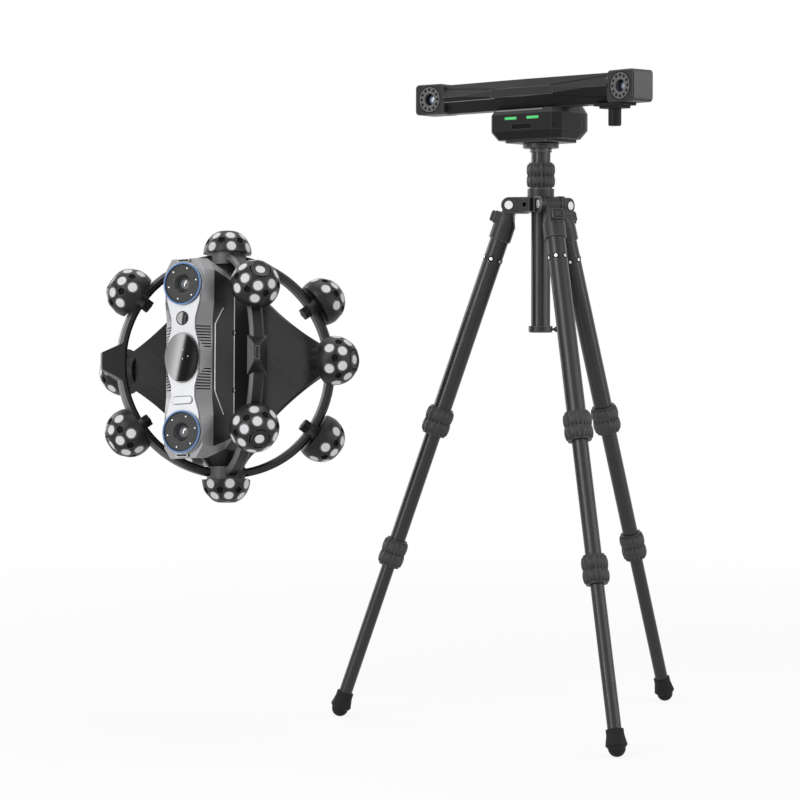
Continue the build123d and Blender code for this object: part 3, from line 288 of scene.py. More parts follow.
# One dictionary for every finish on the object
finishes = {
    "anodisedTube": dict(color=(0.027, 0.0252, 0.0275), rough=0.22, metal=0.45, cloud=0.15, speckle=0.12,
                         grain=1400, bump=0.03, edge=0.6, edgeColor=(0.3, 0.29, 0.3), shine=0.45),
    "lockRubber": dict(color=(0.024, 0.023, 0.0245), rough=0.42, metal=0.0, cloud=0.25, speckle=0.3,
                       grain=900, bump=0.1, edge=0.3, edgeColor=(0.09, 0.09, 0.09), shine=0.35),
    "footRubber": dict(color=(0.012, 0.012, 0.012), rough=0.6, metal=0.0, cloud=0.35, speckle=0.4,
                       grain=700, bump=0.2, edge=0.3, edgeColor=(0.05, 0.05, 0.05), shine=0.15),
    "castMetal": dict(color=(0.022, 0.021, 0.023), rough=0.3, metal=0.2, cloud=0.2, speckle=0.3,
                      grain=1100, bump=0.1, edge=0.8, edgeColor=(0.26, 0.25, 0.27), shine=0.36),
    "pinSteel": dict(color=(0.72, 0.72, 0.72), rough=0.22, metal=1.0, cloud=0.2, speckle=0.1,
                     grain=1500, bump=0.03, edge=0.3, edgeColor=(0.9, 0.9, 0.9), shine=0.5),
    "trackerMetal": dict(color=(0.021, 0.02, 0.021), rough=0.34, metal=0.15, cloud=0.18, speckle=0.2,
                         grain=1600, bump=0.05, edge=0.8, edgeColor=(0.24, 0.24, 0.25), shine=0.28),
    "baseMetal": dict(color=(0.009, 0.0088, 0.0092), rough=0.34, metal=0.1, cloud=0.18, speckle=0.2,
                      grain=1600, bump=0.05, edge=0.7, edgeColor=(0.18, 0.18, 0.19), shine=0.2),
    "cameraFace": dict(color=(0.018, 0.018, 0.0185), rough=0.3, metal=0.1, cloud=0.15, speckle=0.2,
                       grain=1500, bump=0.05, edge=0.5, edgeColor=(0.12, 0.12, 0.125), shine=0.3),
    "blackPlastic": dict(color=(0.007, 0.007, 0.0075), rough=0.4, metal=0.0, cloud=0.2, speckle=0.3,
                         grain=1200, bump=0.08, edge=0.35, edgeColor=(0.05, 0.05, 0.05), shine=0.15),
    "ringGrey": dict(color=(0.1, 0.098, 0.1), rough=0.42, metal=0.2, cloud=0.15, speckle=0.2,
                     grain=1500, bump=0.05, edge=0.4, edgeColor=(0.3, 0.3, 0.3), shine=0.4),
    "silverPaint": dict(color=(0.5, 0.505, 0.52), rough=0.3, metal=0.35, cloud=0.1, speckle=0.05,
                        grain=2200, bump=0.02, edge=0.25, edgeColor=(0.9, 0.9, 0.91), shine=0.5),
    "housingGrey": dict(color=(0.19, 0.19, 0.195), rough=0.28, metal=0.55, cloud=0.12, speckle=0.12,
                        grain=2200, bump=0.03, edge=0.55, edgeColor=(0.5, 0.5, 0.51), shine=0.5),
    "housingBlack": dict(color=(0.012, 0.012, 0.0125), rough=0.34, metal=0.1, cloud=0.25, speckle=0.2,
                         grain=1600, bump=0.05, edge=0.5, edgeColor=(0.1, 0.1, 0.105), shine=0.22),
    "ringBlue": dict(color=(0.012, 0.02, 0.05), rough=0.25, metal=0.1, cloud=0.1, speckle=0.05,
                     grain=1500, bump=0.02, edge=0.3, edgeColor=(0.05, 0.16, 0.42), shine=0.4),
    "ballPlastic": dict(color=(0.011, 0.011, 0.0115), rough=0.3, metal=0.05, cloud=0.2, speckle=0.25,
                        grain=1300, bump=0.08, edge=0.6, edgeColor=(0.2, 0.2, 0.2), shine=0.26),
    "buttonGrey": dict(color=(0.12, 0.12, 0.125), rough=0.45, metal=0.0, cloud=0.1, speckle=0.2,
                       grain=1200, bump=0.06, edge=0.3, edgeColor=(0.3, 0.3, 0.3), shine=0.4),
    # Near black: painted shade in the ball pockets, the bar's creases, the base slot and the small hole; also dark
    # seats, outlines and lamp dots
    "pocketBlack": dict(color=(0.003, 0.003, 0.003), rough=0.7, metal=0.0, cloud=0.1, speckle=0.2,
                        grain=1200, bump=0.1, edge=0.0, edgeColor=(0.02, 0.02, 0.02), shine=0.15),
    "markerDot": dict(color=(0.56, 0.56, 0.57), rough=0.5, metal=0.0, cloud=0.1, speckle=0.3,
                      grain=2600, bump=0.25, edge=0.2, edgeColor=(0.7, 0.7, 0.7), shine=0.4),
    "lineLight": dict(color=(0.34, 0.34, 0.35), rough=0.35, metal=0.5, cloud=0.2, speckle=0.15,
                      grain=1800, bump=0.03, edge=0.2, edgeColor=(0.6, 0.6, 0.6), shine=0.5),
    "lineBright": dict(color=(0.62, 0.62, 0.63), rough=0.3, metal=0.4, cloud=0.2, speckle=0.15,
                       grain=1800, bump=0.03, edge=0.2, edgeColor=(0.85, 0.85, 0.85), shine=0.5),
    "lineBlue": dict(color=(0.09, 0.27, 0.62), rough=0.25, metal=0.0, cloud=0.12, speckle=0.05,
                     grain=1800, bump=0.02, edge=0.2, edgeColor=(0.3, 0.55, 0.9), shine=0.5),
    "linePaleBlueHighlight": dict(color=(0.35, 0.5, 0.75), rough=0.3, metal=0.0, cloud=0.12, speckle=0.05,
                         grain=1800, bump=0.02, edge=0.2, edgeColor=(0.6, 0.75, 0.95), shine=0.5),
}


def makeFinish(name, look):
    material = bpy.data.materials.new(name)
    material.use_nodes = True
    nodes, links = material.node_tree.nodes, material.node_tree.links
    shader = nodes["Principled BSDF"]
    grain = nodes.new("ShaderNodeGroup")
    grain.node_tree = grainGroup
    grain.inputs["Color"].default_value = (*look["color"], 1)
    grain.inputs["Cloud Amount"].default_value = look["cloud"]
    grain.inputs["Speckle Amount"].default_value = look["speckle"]
    grain.inputs["Grain Scale"].default_value = look["grain"]
    grain.inputs["Roughness"].default_value = look["rough"]
    edge = nodes.new("ShaderNodeGroup")
    edge.node_tree = edgeGroup
    edge.inputs["Edge Color"].default_value = (*look["edgeColor"], 1)
    edge.inputs["Amount"].default_value = look["edge"]
    bump = nodes.new("ShaderNodeBump")
    bump.inputs["Strength"].default_value = look["bump"]
    bump.inputs["Distance"].default_value = bumpDistance
    links.new(grain.outputs["Color"], edge.inputs["Color"])
    links.new(edge.outputs["Color"], shader.inputs["Base Color"])
    links.new(grain.outputs["Roughness"], shader.inputs["Roughness"])
    links.new(grain.outputs["Height"], bump.inputs["Height"])
    links.new(bump.outputs["Normal"], shader.inputs["Normal"])
    shader.inputs["Metallic"].default_value = look["metal"]
    shader.inputs["Specular IOR Level"].default_value = look["shine"]
    return material


finish = {name: makeFinish(name, look) for name, look in finishes.items()}


def setStops(ramp, stops):
    ramp.elements[0].position, ramp.elements[1].position = stops[0][0], stops[-1][0]
    ramp.elements[0].color, ramp.elements[1].color = (*stops[0][1], 1), (*stops[-1][1], 1)
    for position, color in stops[1:-1]:
        ramp.elements.new(position).color = (*color, 1)


# Dark coated glass whose base colour follows how squarely it faces the camera, a painted reflection that changes over
# the dome
lensSettings = {"rough": 0.04, "coat": 1.0, "coatRough": 0.02, "ior": 2.0, "blend": 0.35}


def makeLensGlass(name, stops):
    material = bpy.data.materials.new(name)
    material.use_nodes = True
    nodes, links = material.node_tree.nodes, material.node_tree.links
    shader = nodes["Principled BSDF"]
    shader.inputs["Roughness"].default_value = lensSettings["rough"]
    shader.inputs["Coat Weight"].default_value = lensSettings["coat"]
    shader.inputs["IOR"].default_value = lensSettings["ior"]
    shader.inputs["Coat Roughness"].default_value = lensSettings["coatRough"]
    facing = nodes.new("ShaderNodeLayerWeight")
    facing.inputs["Blend"].default_value = lensSettings["blend"]
    ramp = nodes.new("ShaderNodeValToRGB")
    setStops(ramp.color_ramp, stops)
    links.new(facing.outputs["Facing"], ramp.inputs["Fac"])
    links.new(ramp.outputs["Color"], shader.inputs["Base Color"])
    return material


# Glass with a painted reflection in its base colour: bright as from a mirrored room on one side and dark on the other,
# split across the scanner's width
def makeReflectionPaintedGlass(name, middle, look):
    material = bpy.data.materials.new(name)
    material.use_nodes = True
    nodes, links = material.node_tree.nodes, material.node_tree.links
    shader = nodes["Principled BSDF"]
    shader.inputs["Roughness"].default_value = look["rough"]
    shader.inputs["Specular IOR Level"].default_value = look["shine"]
    yaw = math.radians(places["scannerYaw"])
    where = nodes.new("ShaderNodeTexCoord")
    across = nodes.new("ShaderNodeVectorMath")
    across.operation = "DOT_PRODUCT"
    across.inputs[1].default_value = (math.cos(yaw) / mm, math.sin(yaw) / mm, -look["slant"] / mm)
    links.new(where.outputs["Object"], across.inputs[0])
    share = nodes.new("ShaderNodeMapRange")
    share.inputs["From Min"].default_value = middle - look["width"]
    share.inputs["From Max"].default_value = middle + look["width"]
    links.new(across.outputs["Value"], share.inputs["Value"])
    ramp = nodes.new("ShaderNodeValToRGB")
    setStops(ramp.color_ramp, [(position, (grey, grey, grey)) for position, grey in look["stops"]])
    links.new(share.outputs[0], ramp.inputs["Fac"])
    links.new(ramp.outputs["Color"], shader.inputs["Base Color"])
    return material


# Moulded web with a painted sheen in its base colour: lighter streaks that run slantwise over broad lighter patches
def makePaintedSheen(name, look):
    material = bpy.data.materials.new(name)
    material.use_nodes = True
    nodes, links = material.node_tree.nodes, material.node_tree.links
    shader = nodes["Principled BSDF"]
    shader.inputs["Roughness"].default_value = look["rough"]
    shader.inputs["Specular IOR Level"].default_value = look["shine"]
    where = nodes.new("ShaderNodeTexCoord")
    turned = nodes.new("ShaderNodeMapping")
    turned.vector_type = "TEXTURE"
    turned.inputs["Rotation"].default_value = [math.radians(a) for a in look["slant"]]
    turned.inputs["Scale"].default_value = look["stretch"]
    noise = nodes.new("ShaderNodeTexNoise")
    noise.inputs["Scale"].default_value = 1.0
    noise.inputs["Detail"].default_value = look["streakDetail"]
    broad = nodes.new("ShaderNodeTexNoise")
    broad.inputs["Scale"].default_value = look["broadScale"]
    ramp = nodes.new("ShaderNodeValToRGB")
    setStops(ramp.color_ramp, look["stops"])
    blend = nodes.new("ShaderNodeMath")
    blend.operation = "MULTIPLY_ADD"
    blend.inputs[1].default_value = look["streakShare"]
    rest = nodes.new("ShaderNodeMath")
    rest.operation = "MULTIPLY"
    rest.inputs[1].default_value = 1 - look["streakShare"]
    links.new(where.outputs["Object"], turned.inputs["Vector"])
    links.new(turned.outputs[0], noise.inputs["Vector"])
    links.new(where.outputs["Object"], broad.inputs["Vector"])
    links.new(broad.outputs["Fac"], rest.inputs[0])
    links.new(noise.outputs["Fac"], blend.inputs[0])
    links.new(rest.outputs[0], blend.inputs[2])
    links.new(blend.outputs[0], ramp.inputs["Fac"])
    links.new(ramp.outputs["Color"], shader.inputs["Base Color"])
    return material


# Lit plastic with an uneven glow
glowSettings = {"scale": 260.0, "dim": 0.75, "rough": 0.3}


def makeGlow(name, color, strength):
    material = bpy.data.materials.new(name)
    material.use_nodes = True
    nodes, links = material.node_tree.nodes, material.node_tree.links
    shader = nodes["Principled BSDF"]
    where = nodes.new("ShaderNodeTexCoord")
    noise = nodes.new("ShaderNodeTexNoise")
    noise.inputs["Scale"].default_value = glowSettings["scale"]
    ramp = nodes.new("ShaderNodeValToRGB")
    ramp.color_ramp.elements[0].color = (*[c * glowSettings["dim"] for c in color], 1)
    ramp.color_ramp.elements[1].color = (*color, 1)
    links.new(where.outputs["Object"], noise.inputs["Vector"])
    links.new(noise.outputs["Fac"], ramp.inputs["Fac"])
    links.new(ramp.outputs["Color"], shader.inputs["Base Color"])
    links.new(ramp.outputs["Color"], shader.inputs["Emission Color"])
    shader.inputs["Emission Strength"].default_value = strength
    shader.inputs["Roughness"].default_value = glowSettings["rough"]
    return material


# Scanner lenses: dark where they face the camera, with a painted bluish reflection towards the rim
finish["lensGlass"] = makeLensGlass("lensGlass", ((0.0, (0.004, 0.005, 0.009)), (1.0, (0.06, 0.08, 0.16))))
finish["statusGreen"] = makeGlow("statusGreen", (0.06, 0.5, 0.13), 0.55)
finish["lampWhite"] = makeGlow("lampWhite", (0.95, 0.97, 1.0), 0.9)

slotFinish = {
    "anodised_tube": "anodisedTube", "lock_rubber": "lockRubber", "foot_rubber": "footRubber",
    "cast_metal": "castMetal", "pin_steel": "pinSteel", "tracker_metal": "trackerMetal",
    "black_plastic": "blackPlastic", "status_green": "statusGreen", "ring_grey": "ringGrey",
    "lens_glass": "lensGlass", "silver_paint": "silverPaint", "housing_grey": "housingGrey",
    "housing_black": "housingBlack", "ring_blue": "ringBlue", "ball_plastic": "ballPlastic",
    "button_grey": "buttonGrey",
}


def dressNode(node, material):
    cadObject = frame["nodes"][node]
    if not cadObject.material_slots:
        cadObject.data.materials.append(material)
    for slot in cadObject.material_slots:
        slot.material = material


for part in frame["record"]["subparts"]:
    dressNode(part["node"], finish[slotFinish[part["material_slot"]]])
print("every node has its finish")


def shift(x, y, z):
    return Matrix.Translation((x, y, z))


def turn(degrees, axis):
    return Matrix.Rotation(math.radians(degrees), 4, axis)


columnPlace = shift(*places["column"], 0)
scannerPlace = (columnPlace @ shift(*places["scannerFromColumn"], places["scannerHeight"])
                @ turn(places["scannerLean"], "X") @ turn(places["scannerYaw"], "Z"))
splay = math.radians(places["legSplay"])
pivotZ = (places["legLength"] - places["footTip"]) * math.cos(splay) + places["footTip"]
legPlaces = [columnPlace @ turn(heading, "Z") @ shift(places["pivotRadius"], 0, pivotZ)
             @ turn(-places["legSplay"], "Y") for heading in places["legHeadings"]]
trackerPlace = columnPlace @ turn(places["trackerYaw"], "Z")


# Middle of a round piece on the scanner's front, measured along the scanner's width in the row's frame
def acrossScanner(x, y, z, slant):
    yaw = math.radians(places["scannerYaw"])
    point = scannerPlace @ Vector((x, y, z))
    return point.x * math.cos(yaw) + point.y * math.sin(yaw) - slant * point.z


# The window and aiming lens carry a painted reflection: bright grey on one side, near black on the other
paintedReflectionGlass = {
    "scanner_window": {
        "at": (0.5, -110, 0), "width": 21.0, "slant": 0.17, "rough": 0.12, "shine": 0.1,
        "stops": ((0.0, 0.2), (0.2, 0.3), (0.4, 0.5), (0.47, 0.44), (0.55, 0.05), (0.62, 0.006), (0.8, 0.004),
                  (1.0, 0.03)),
    },
    "scanner_aiming_lens": {
        "at": (-1.0, -106, 46.5), "width": 7.2, "slant": 0.1, "rough": 0.12, "shine": 0.1,
        "stops": ((0.0, 0.1), (0.16, 0.34), (0.42, 0.5), (0.56, 0.05), (0.75, 0.012), (1.0, 0.02)),
    },
}
for node, look in paintedReflectionGlass.items():
    dressNode(node, makeReflectionPaintedGlass(node, acrossScanner(*look["at"], look["slant"]), look))
dressNode("scanner_cameras", finish["cameraFace"])
# Tracker lenses: a painted pale-blue reflection where they face the camera, dark towards the rim
dressNode("tracker_lenses", makeLensGlass("trackerLensPaintedReflection", ((0.0, (0.3, 0.36, 0.5)), (0.3, (0.05, 0.06, 0.12)),
                                                          (0.7, (0.006, 0.007, 0.014)))))
# The side webs' streaked base colour is a painted sheen
webPaintedSheen = {"stops": ((0.36, (0.0025, 0.0025, 0.003)), (0.72, (0.028, 0.028, 0.03))), "slant": (0, 40, 0),
            "stretch": (0.04, 0.04, 0.0035), "rough": 0.34, "shine": 0.16, "streakDetail": 4.0, "broadScale": 9.0,
            "streakShare": 0.22}
dressNode("scanner_side_wings", makePaintedSheen("webPaintedSheen", webPaintedSheen))


# Painted light and shade: a second colour on the faces that look along a direction, such as bevels and flanks, lighter
# where light falls on them and darker where it does not
def paintLightByFacing(node, look):
    material = makeFinish(look["name"], finishes[look["base"]])
    nodes, links = material.node_tree.nodes, material.node_tree.links
    grain = next(n for n in nodes if n.type == "GROUP" and n.node_tree == grainGroup)
    where = nodes.new("ShaderNodeTexCoord")
    along = nodes.new("ShaderNodeVectorMath")
    along.operation = "DOT_PRODUCT"
    along.inputs[1].default_value = Vector(look["towards"]).normalized()
    share = nodes.new("ShaderNodeMapRange")
    share.interpolation_type = "SMOOTHSTEP"
    share.inputs["From Min"].default_value = look["from"]
    share.inputs["From Max"].default_value = look["full"]
    mix = nodes.new("ShaderNodeMix")
    mix.data_type = "RGBA"
    mix.inputs[6].default_value = (*finishes[look["base"]]["color"], 1)
    mix.inputs[7].default_value = (*look["tone"], 1)
    links.new(where.outputs["Normal"], along.inputs[0])
    links.new(along.outputs["Value"], share.inputs["Value"])
    links.new(share.outputs[0], mix.inputs["Factor"])
    links.new(mix.outputs[2], grain.inputs["Color"])
    dressNode(node, material)


def facingFrom(place, direction):
    return place.to_3x3() @ Vector(direction)


# Painted shade on the housing's right flank and the bar's underside; painted light on the hoops' front flats, the right
# camera block's flank and the base's upper faces
facingPaintedLight = {
    "scanner_housing_front": {"name": "housingFlankPaintedShade", "base": "housingGrey", "from": 0.84, "full": 0.93,
                              "towards": facingFrom(scannerPlace, (1, 0, 0)), "tone": (0.016, 0.016, 0.0165)},
    "scanner_cage_frame": {"name": "hoopFlatsPaintedLight", "base": "housingBlack", "from": 0.5, "full": 0.85,
                           "towards": facingFrom(scannerPlace, (-0.25, -1, 0)), "tone": (0.13, 0.13, 0.134)},
    "tracker_right_camera": {"name": "blockFlankPaintedLight", "base": "trackerMetal", "from": 0.7, "full": 0.95,
                             "towards": facingFrom(trackerPlace, (1, 0, 0)), "tone": (0.075, 0.073, 0.076)},
    "tracker_bar_front": {"name": "barLowerPaintedShade", "base": "trackerMetal", "from": 0.12, "full": 0.4,
                          "towards": (0, 0, -1), "tone": (0.004, 0.004, 0.0042)},
    "tracker_base_front": {"name": "baseFrontPaintedLight", "base": "baseMetal", "from": 0.2, "full": 0.42,
                           "towards": (0, 0, 1), "tone": (0.036, 0.035, 0.037)},
    "tracker_base_rear": {"name": "baseRearPaintedLight", "base": "baseMetal", "from": 0.2, "full": 0.42,
                          "towards": (0, 0, 1), "tone": (0.036, 0.035, 0.037)},
}
for node, look in facingPaintedLight.items():
    paintLightByFacing(node, look)
print("window, aiming lens, webs, flanks and hoops have their own finish")


def outward(azimuth, elevation):
    return turn(azimuth, "Z") @ turn(90 - elevation, "X")


# A finished mesh becomes a piece on its body; sizes so far are millimetres
def addPiece(name, mesh, body, place=None, materials=None, replaced=(), smoothAngle=35):
    mesh.transform(Matrix.Scale(mm, 4) @ (place or Matrix.Identity(4)))
    for material in materials or ():
        mesh.materials.append(material)
    mesh.shade_smooth()
    mesh.set_sharp_from_angle(angle=math.radians(smoothAngle))
    piece = bpy.data.objects.new(name, mesh)
    bpy.context.scene.collection.objects.link(piece)
    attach(piece, body)
    if replaced:
        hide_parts(*replaced)
    return piece


def meshFrom(bm, name):
    bmesh.ops.remove_doubles(bm, verts=bm.verts, dist=1e-4)
    bmesh.ops.recalc_face_normals(bm, faces=bm.faces)
    mesh = bpy.data.meshes.new(name)
    bm.to_mesh(mesh)
    bm.free()
    return mesh


# Points for a tree to set pieces on, each with the direction that it faces
def pointMesh(name, spots):
    mesh = bpy.data.meshes.new(name)
    mesh.from_pydata([tuple(place) for place, _ in spots], [], [])
    facing = mesh.attributes.new("facing", "FLOAT_VECTOR", "POINT")
    for index, (_, direction) in enumerate(spots):
        facing.data[index].vector = direction
    return mesh


def spotOn(frameMatrix):
    return frameMatrix.translation.copy(), (frameMatrix.to_3x3() @ Vector((0, 0, 1))).normalized()


# Geometry Nodes: one tree for round studs and dots, one for rings, one for ribs round an axis
def newTree(name, inputs):
    tree = bpy.data.node_groups.new(name, "GeometryNodeTree")
    tree.interface.new_socket("Geometry", in_out="INPUT", socket_type="NodeSocketGeometry")
    for label, kind, value in inputs:
        socket = tree.interface.new_socket(label, in_out="INPUT", socket_type=kind)
        if value is not None:
            socket.default_value = value
    tree.interface.new_socket("Geometry", in_out="OUTPUT", socket_type="NodeSocketGeometry")
    return tree, tree.nodes.new("NodeGroupInput"), tree.nodes.new("NodeGroupOutput")


def setOnPoints(tree, enter, leave, source):
    nodes, links = tree.nodes, tree.links
    facing = nodes.new("GeometryNodeInputNamedAttribute")
    facing.data_type = "FLOAT_VECTOR"
    facing.inputs["Name"].default_value = "facing"
    align = nodes.new("FunctionNodeAlignRotationToVector")
    align.axis = "Z"
    points = nodes.new("GeometryNodeMeshToPoints")
    copies = nodes.new("GeometryNodeInstanceOnPoints")
    real = nodes.new("GeometryNodeRealizeInstances")
    paint = nodes.new("GeometryNodeSetMaterial")
    links.new(enter.outputs["Geometry"], points.inputs["Mesh"])
    links.new(facing.outputs["Attribute"], align.inputs["Vector"])
    links.new(points.outputs["Points"], copies.inputs["Points"])
    links.new(source, copies.inputs["Instance"])
    links.new(align.outputs["Rotation"], copies.inputs["Rotation"])
    links.new(copies.outputs["Instances"], real.inputs["Geometry"])
    links.new(real.outputs["Geometry"], paint.inputs["Geometry"])
    links.new(enter.outputs["Material"], paint.inputs["Material"])
    links.new(paint.outputs["Geometry"], leave.inputs["Geometry"])


def buildStudTree():
    tree, enter, leave = newTree("roundStuds", [
        ("Radius", "NodeSocketFloat", 1.0), ("Height", "NodeSocketFloat", 1.0),
        ("Dome", "NodeSocketFloat", 0.2), ("Sides", "NodeSocketInt", 16),
        ("Material", "NodeSocketMaterial", None)])
    nodes, links = tree.nodes, tree.links
    body = nodes.new("GeometryNodeMeshCylinder")
    body.inputs["Fill Segments"].default_value = 2
    links.new(enter.outputs["Sides"], body.inputs["Vertices"])
    links.new(enter.outputs["Radius"], body.inputs["Radius"])
    links.new(enter.outputs["Height"], body.inputs["Depth"])
    where = nodes.new("GeometryNodeInputPosition")
    split = nodes.new("ShaderNodeSeparateXYZ")
    links.new(where.outputs[0], split.inputs[0])
    top = nodes.new("FunctionNodeCompare")
    top.operation = "GREATER_THAN"
    links.new(split.outputs["Z"], top.inputs[0])
    flat = nodes.new("ShaderNodeVectorMath")
    flat.operation = "MULTIPLY"
    flat.inputs[1].default_value = (1, 1, 0)
    links.new(where.outputs[0], flat.inputs[0])
    reach = nodes.new("ShaderNodeVectorMath")
    reach.operation = "LENGTH"
    links.new(flat.outputs[0], reach.inputs[0])
    share = nodes.new("ShaderNodeMath")
    share.operation = "DIVIDE"
    links.new(reach.outputs["Value"], share.inputs[0])
    links.new(enter.outputs["Radius"], share.inputs[1])
    bulge = nodes.new("ShaderNodeMapRange")
    bulge.interpolation_type = "SMOOTHERSTEP"
    bulge.inputs["From Min"].default_value = 1.15
    bulge.inputs["From Max"].default_value = 0.0
    links.new(share.outputs[0], bulge.inputs["Value"])
    links.new(enter.outputs["Dome"], bulge.inputs["To Max"])
    lift = nodes.new("ShaderNodeCombineXYZ")
    links.new(bulge.outputs[0], lift.inputs["Z"])
    domed = nodes.new("GeometryNodeSetPosition")
    links.new(body.outputs["Mesh"], domed.inputs["Geometry"])
    links.new(top.outputs[0], domed.inputs["Selection"])
    links.new(lift.outputs[0], domed.inputs["Offset"])
    half = nodes.new("ShaderNodeMath")
    half.operation = "MULTIPLY"
    half.inputs[1].default_value = 0.5
    links.new(enter.outputs["Height"], half.inputs[0])
    rise = nodes.new("ShaderNodeCombineXYZ")
    links.new(half.outputs[0], rise.inputs["Z"])
    raised = nodes.new("GeometryNodeSetPosition")
    links.new(domed.outputs["Geometry"], raised.inputs["Geometry"])
    links.new(rise.outputs[0], raised.inputs["Offset"])
    setOnPoints(tree, enter, leave, raised.outputs["Geometry"])
    return tree


def buildRingTree():
    tree, enter, leave = newTree("roundRings", [
        ("Radius", "NodeSocketFloat", 2.0), ("Thickness", "NodeSocketFloat", 0.3),
        ("Material", "NodeSocketMaterial", None)])
    nodes, links = tree.nodes, tree.links
    path = nodes.new("GeometryNodeCurvePrimitiveCircle")
    path.inputs["Resolution"].default_value = 28
    links.new(enter.outputs["Radius"], path.inputs["Radius"])
    section = nodes.new("GeometryNodeCurvePrimitiveCircle")
    section.inputs["Resolution"].default_value = 6
    links.new(enter.outputs["Thickness"], section.inputs["Radius"])
    ring = nodes.new("GeometryNodeCurveToMesh")
    links.new(path.outputs["Curve"], ring.inputs["Curve"])
    links.new(section.outputs["Curve"], ring.inputs["Profile Curve"])
    setOnPoints(tree, enter, leave, ring.outputs["Mesh"])
    return tree


def buildRibTree():
    tree, enter, leave = newTree("ribsRoundAxis", [
        ("Count", "NodeSocketInt", 20), ("Rib Radius", "NodeSocketFloat", 1.0),
        ("Material", "NodeSocketMaterial", None)])
    nodes, links = tree.nodes, tree.links
    path = nodes.new("GeometryNodeMeshToCurve")
    links.new(enter.outputs["Geometry"], path.inputs["Mesh"])
    section = nodes.new("GeometryNodeCurvePrimitiveCircle")
    section.inputs["Resolution"].default_value = 8
    links.new(enter.outputs["Rib Radius"], section.inputs["Radius"])
    rib = nodes.new("GeometryNodeCurveToMesh")
    rib.inputs["Fill Caps"].default_value = True
    links.new(path.outputs["Curve"], rib.inputs["Curve"])
    links.new(section.outputs["Curve"], rib.inputs["Profile Curve"])
    centre = nodes.new("GeometryNodePoints")
    links.new(enter.outputs["Count"], centre.inputs["Count"])
    number = nodes.new("GeometryNodeInputIndex")
    step = nodes.new("ShaderNodeMath")
    step.operation = "DIVIDE"
    step.inputs[0].default_value = math.tau
    links.new(enter.outputs["Count"], step.inputs[1])
    angle = nodes.new("ShaderNodeMath")
    angle.operation = "MULTIPLY"
    links.new(number.outputs[0], angle.inputs[0])
    links.new(step.outputs[0], angle.inputs[1])
    spin = nodes.new("ShaderNodeCombineXYZ")
    links.new(angle.outputs[0], spin.inputs["Z"])
    copies = nodes.new("GeometryNodeInstanceOnPoints")
    real = nodes.new("GeometryNodeRealizeInstances")
    paint = nodes.new("GeometryNodeSetMaterial")
    links.new(centre.outputs[0], copies.inputs["Points"])
    links.new(rib.outputs["Mesh"], copies.inputs["Instance"])
    links.new(spin.outputs[0], copies.inputs["Rotation"])
    links.new(copies.outputs["Instances"], real.inputs["Geometry"])
    links.new(real.outputs["Geometry"], paint.inputs["Geometry"])
    links.new(enter.outputs["Material"], paint.inputs["Material"])
    links.new(paint.outputs["Geometry"], leave.inputs["Geometry"])
    return tree


def grow(tree, mesh, settings):
    source = bpy.data.objects.new("treeSource", mesh)
    bpy.context.scene.collection.objects.link(source)
    modifier = source.modifiers.new("tree", "NODES")
    modifier.node_group = tree
    for item in tree.interface.items_tree:
        if item.item_type == "SOCKET" and item.in_out == "INPUT" and item.name in settings:
            modifier[item.identifier] = settings[item.name]
    depsgraph = bpy.context.evaluated_depsgraph_get()
    result = bpy.data.meshes.new_from_object(source.evaluated_get(depsgraph), depsgraph=depsgraph)
    bpy.data.objects.remove(source)
    return result


studTree, ringTree, ribTree = buildStudTree(), buildRingTree(), buildRibTree()
print("Geometry Nodes trees are built")


def addStuds(name, body, spots, radius, height, dome, sides, colour):
    studs = grow(studTree, pointMesh(name, spots), {
        "Radius": radius, "Height": height, "Dome": dome, "Sides": sides, "Material": finish[colour]})
    addPiece(name, studs, body, None)


def addRings(name, body, spots, radius, thickness, colour):
    rings = grow(ringTree, pointMesh(name, spots), {
        "Radius": radius, "Thickness": thickness, "Material": finish[colour]})
    addPiece(name, rings, body, None)


# Twist locks: rubber ribs that follow the two bulges of each collar
lockSettings = {"ribs": 20, "ribRadius": 1.9, "sink": 1.55, "rim": 0.08, "neck": 1.3, "steps": 8}
lockSizes = {
    "upper_lock": {"middle": 275.0, "length": 34.0, "radius": 16.6},
    "lower_lock": {"middle": 445.0, "length": 34.0, "radius": 15.2},
}


def lockProfile(top, length, radius, settings):
    waist = radius - settings["neck"]
    rim = settings["rim"] * length
    middle = top - length / 2
    points = []
    for start, end in ((top - rim, middle), (middle, top - length + rim)):
        half = abs(start - end) / 2
        curve = (half ** 2 + settings["neck"] ** 2) / (2 * settings["neck"])
        for step in range(settings["steps"] + 1):
            z = start + (end - start) * step / settings["steps"]
            if points and abs(points[-1][2] - z) < 1e-6:
                continue
            across = z - (start + end) / 2
            points.append((radius - curve + math.sqrt(curve ** 2 - across ** 2), 0, z))
    return [(max(x, waist) - settings["sink"], y, z) for x, y, z in points]


def addLockRibs(name, body, place, top, length, radius):
    points = lockProfile(top, length, radius, lockSettings)
    mesh = bpy.data.meshes.new(name)
    mesh.from_pydata(points, [(i, i + 1) for i in range(len(points) - 1)], [])
    ribs = grow(ribTree, mesh, {
        "Count": lockSettings["ribs"], "Rib Radius": lockSettings["ribRadius"], "Material": finish["lockRubber"]})
    addPiece(name, ribs, body, place)


for number, place in enumerate(legPlaces, 1):
    for lock, size in lockSizes.items():
        addLockRibs(f"leg_{number}_{lock}_ribs", f"leg_{number}_{lock}", place,
                    size["length"] / 2 - size["middle"], size["length"], size["radius"])
columnLock = {"ears": 9.5, "collar": 10.0, "gap": 0.3, "length": 31.0, "radius": 16.8}
columnLockTop = pivotZ + columnLock["ears"] + columnLock["collar"] + columnLock["gap"] + columnLock["length"]
addLockRibs("column_lock_ribs", "column_lock", columnPlace, columnLockTop, columnLock["length"], columnLock["radius"])
print("locks are ribbed")


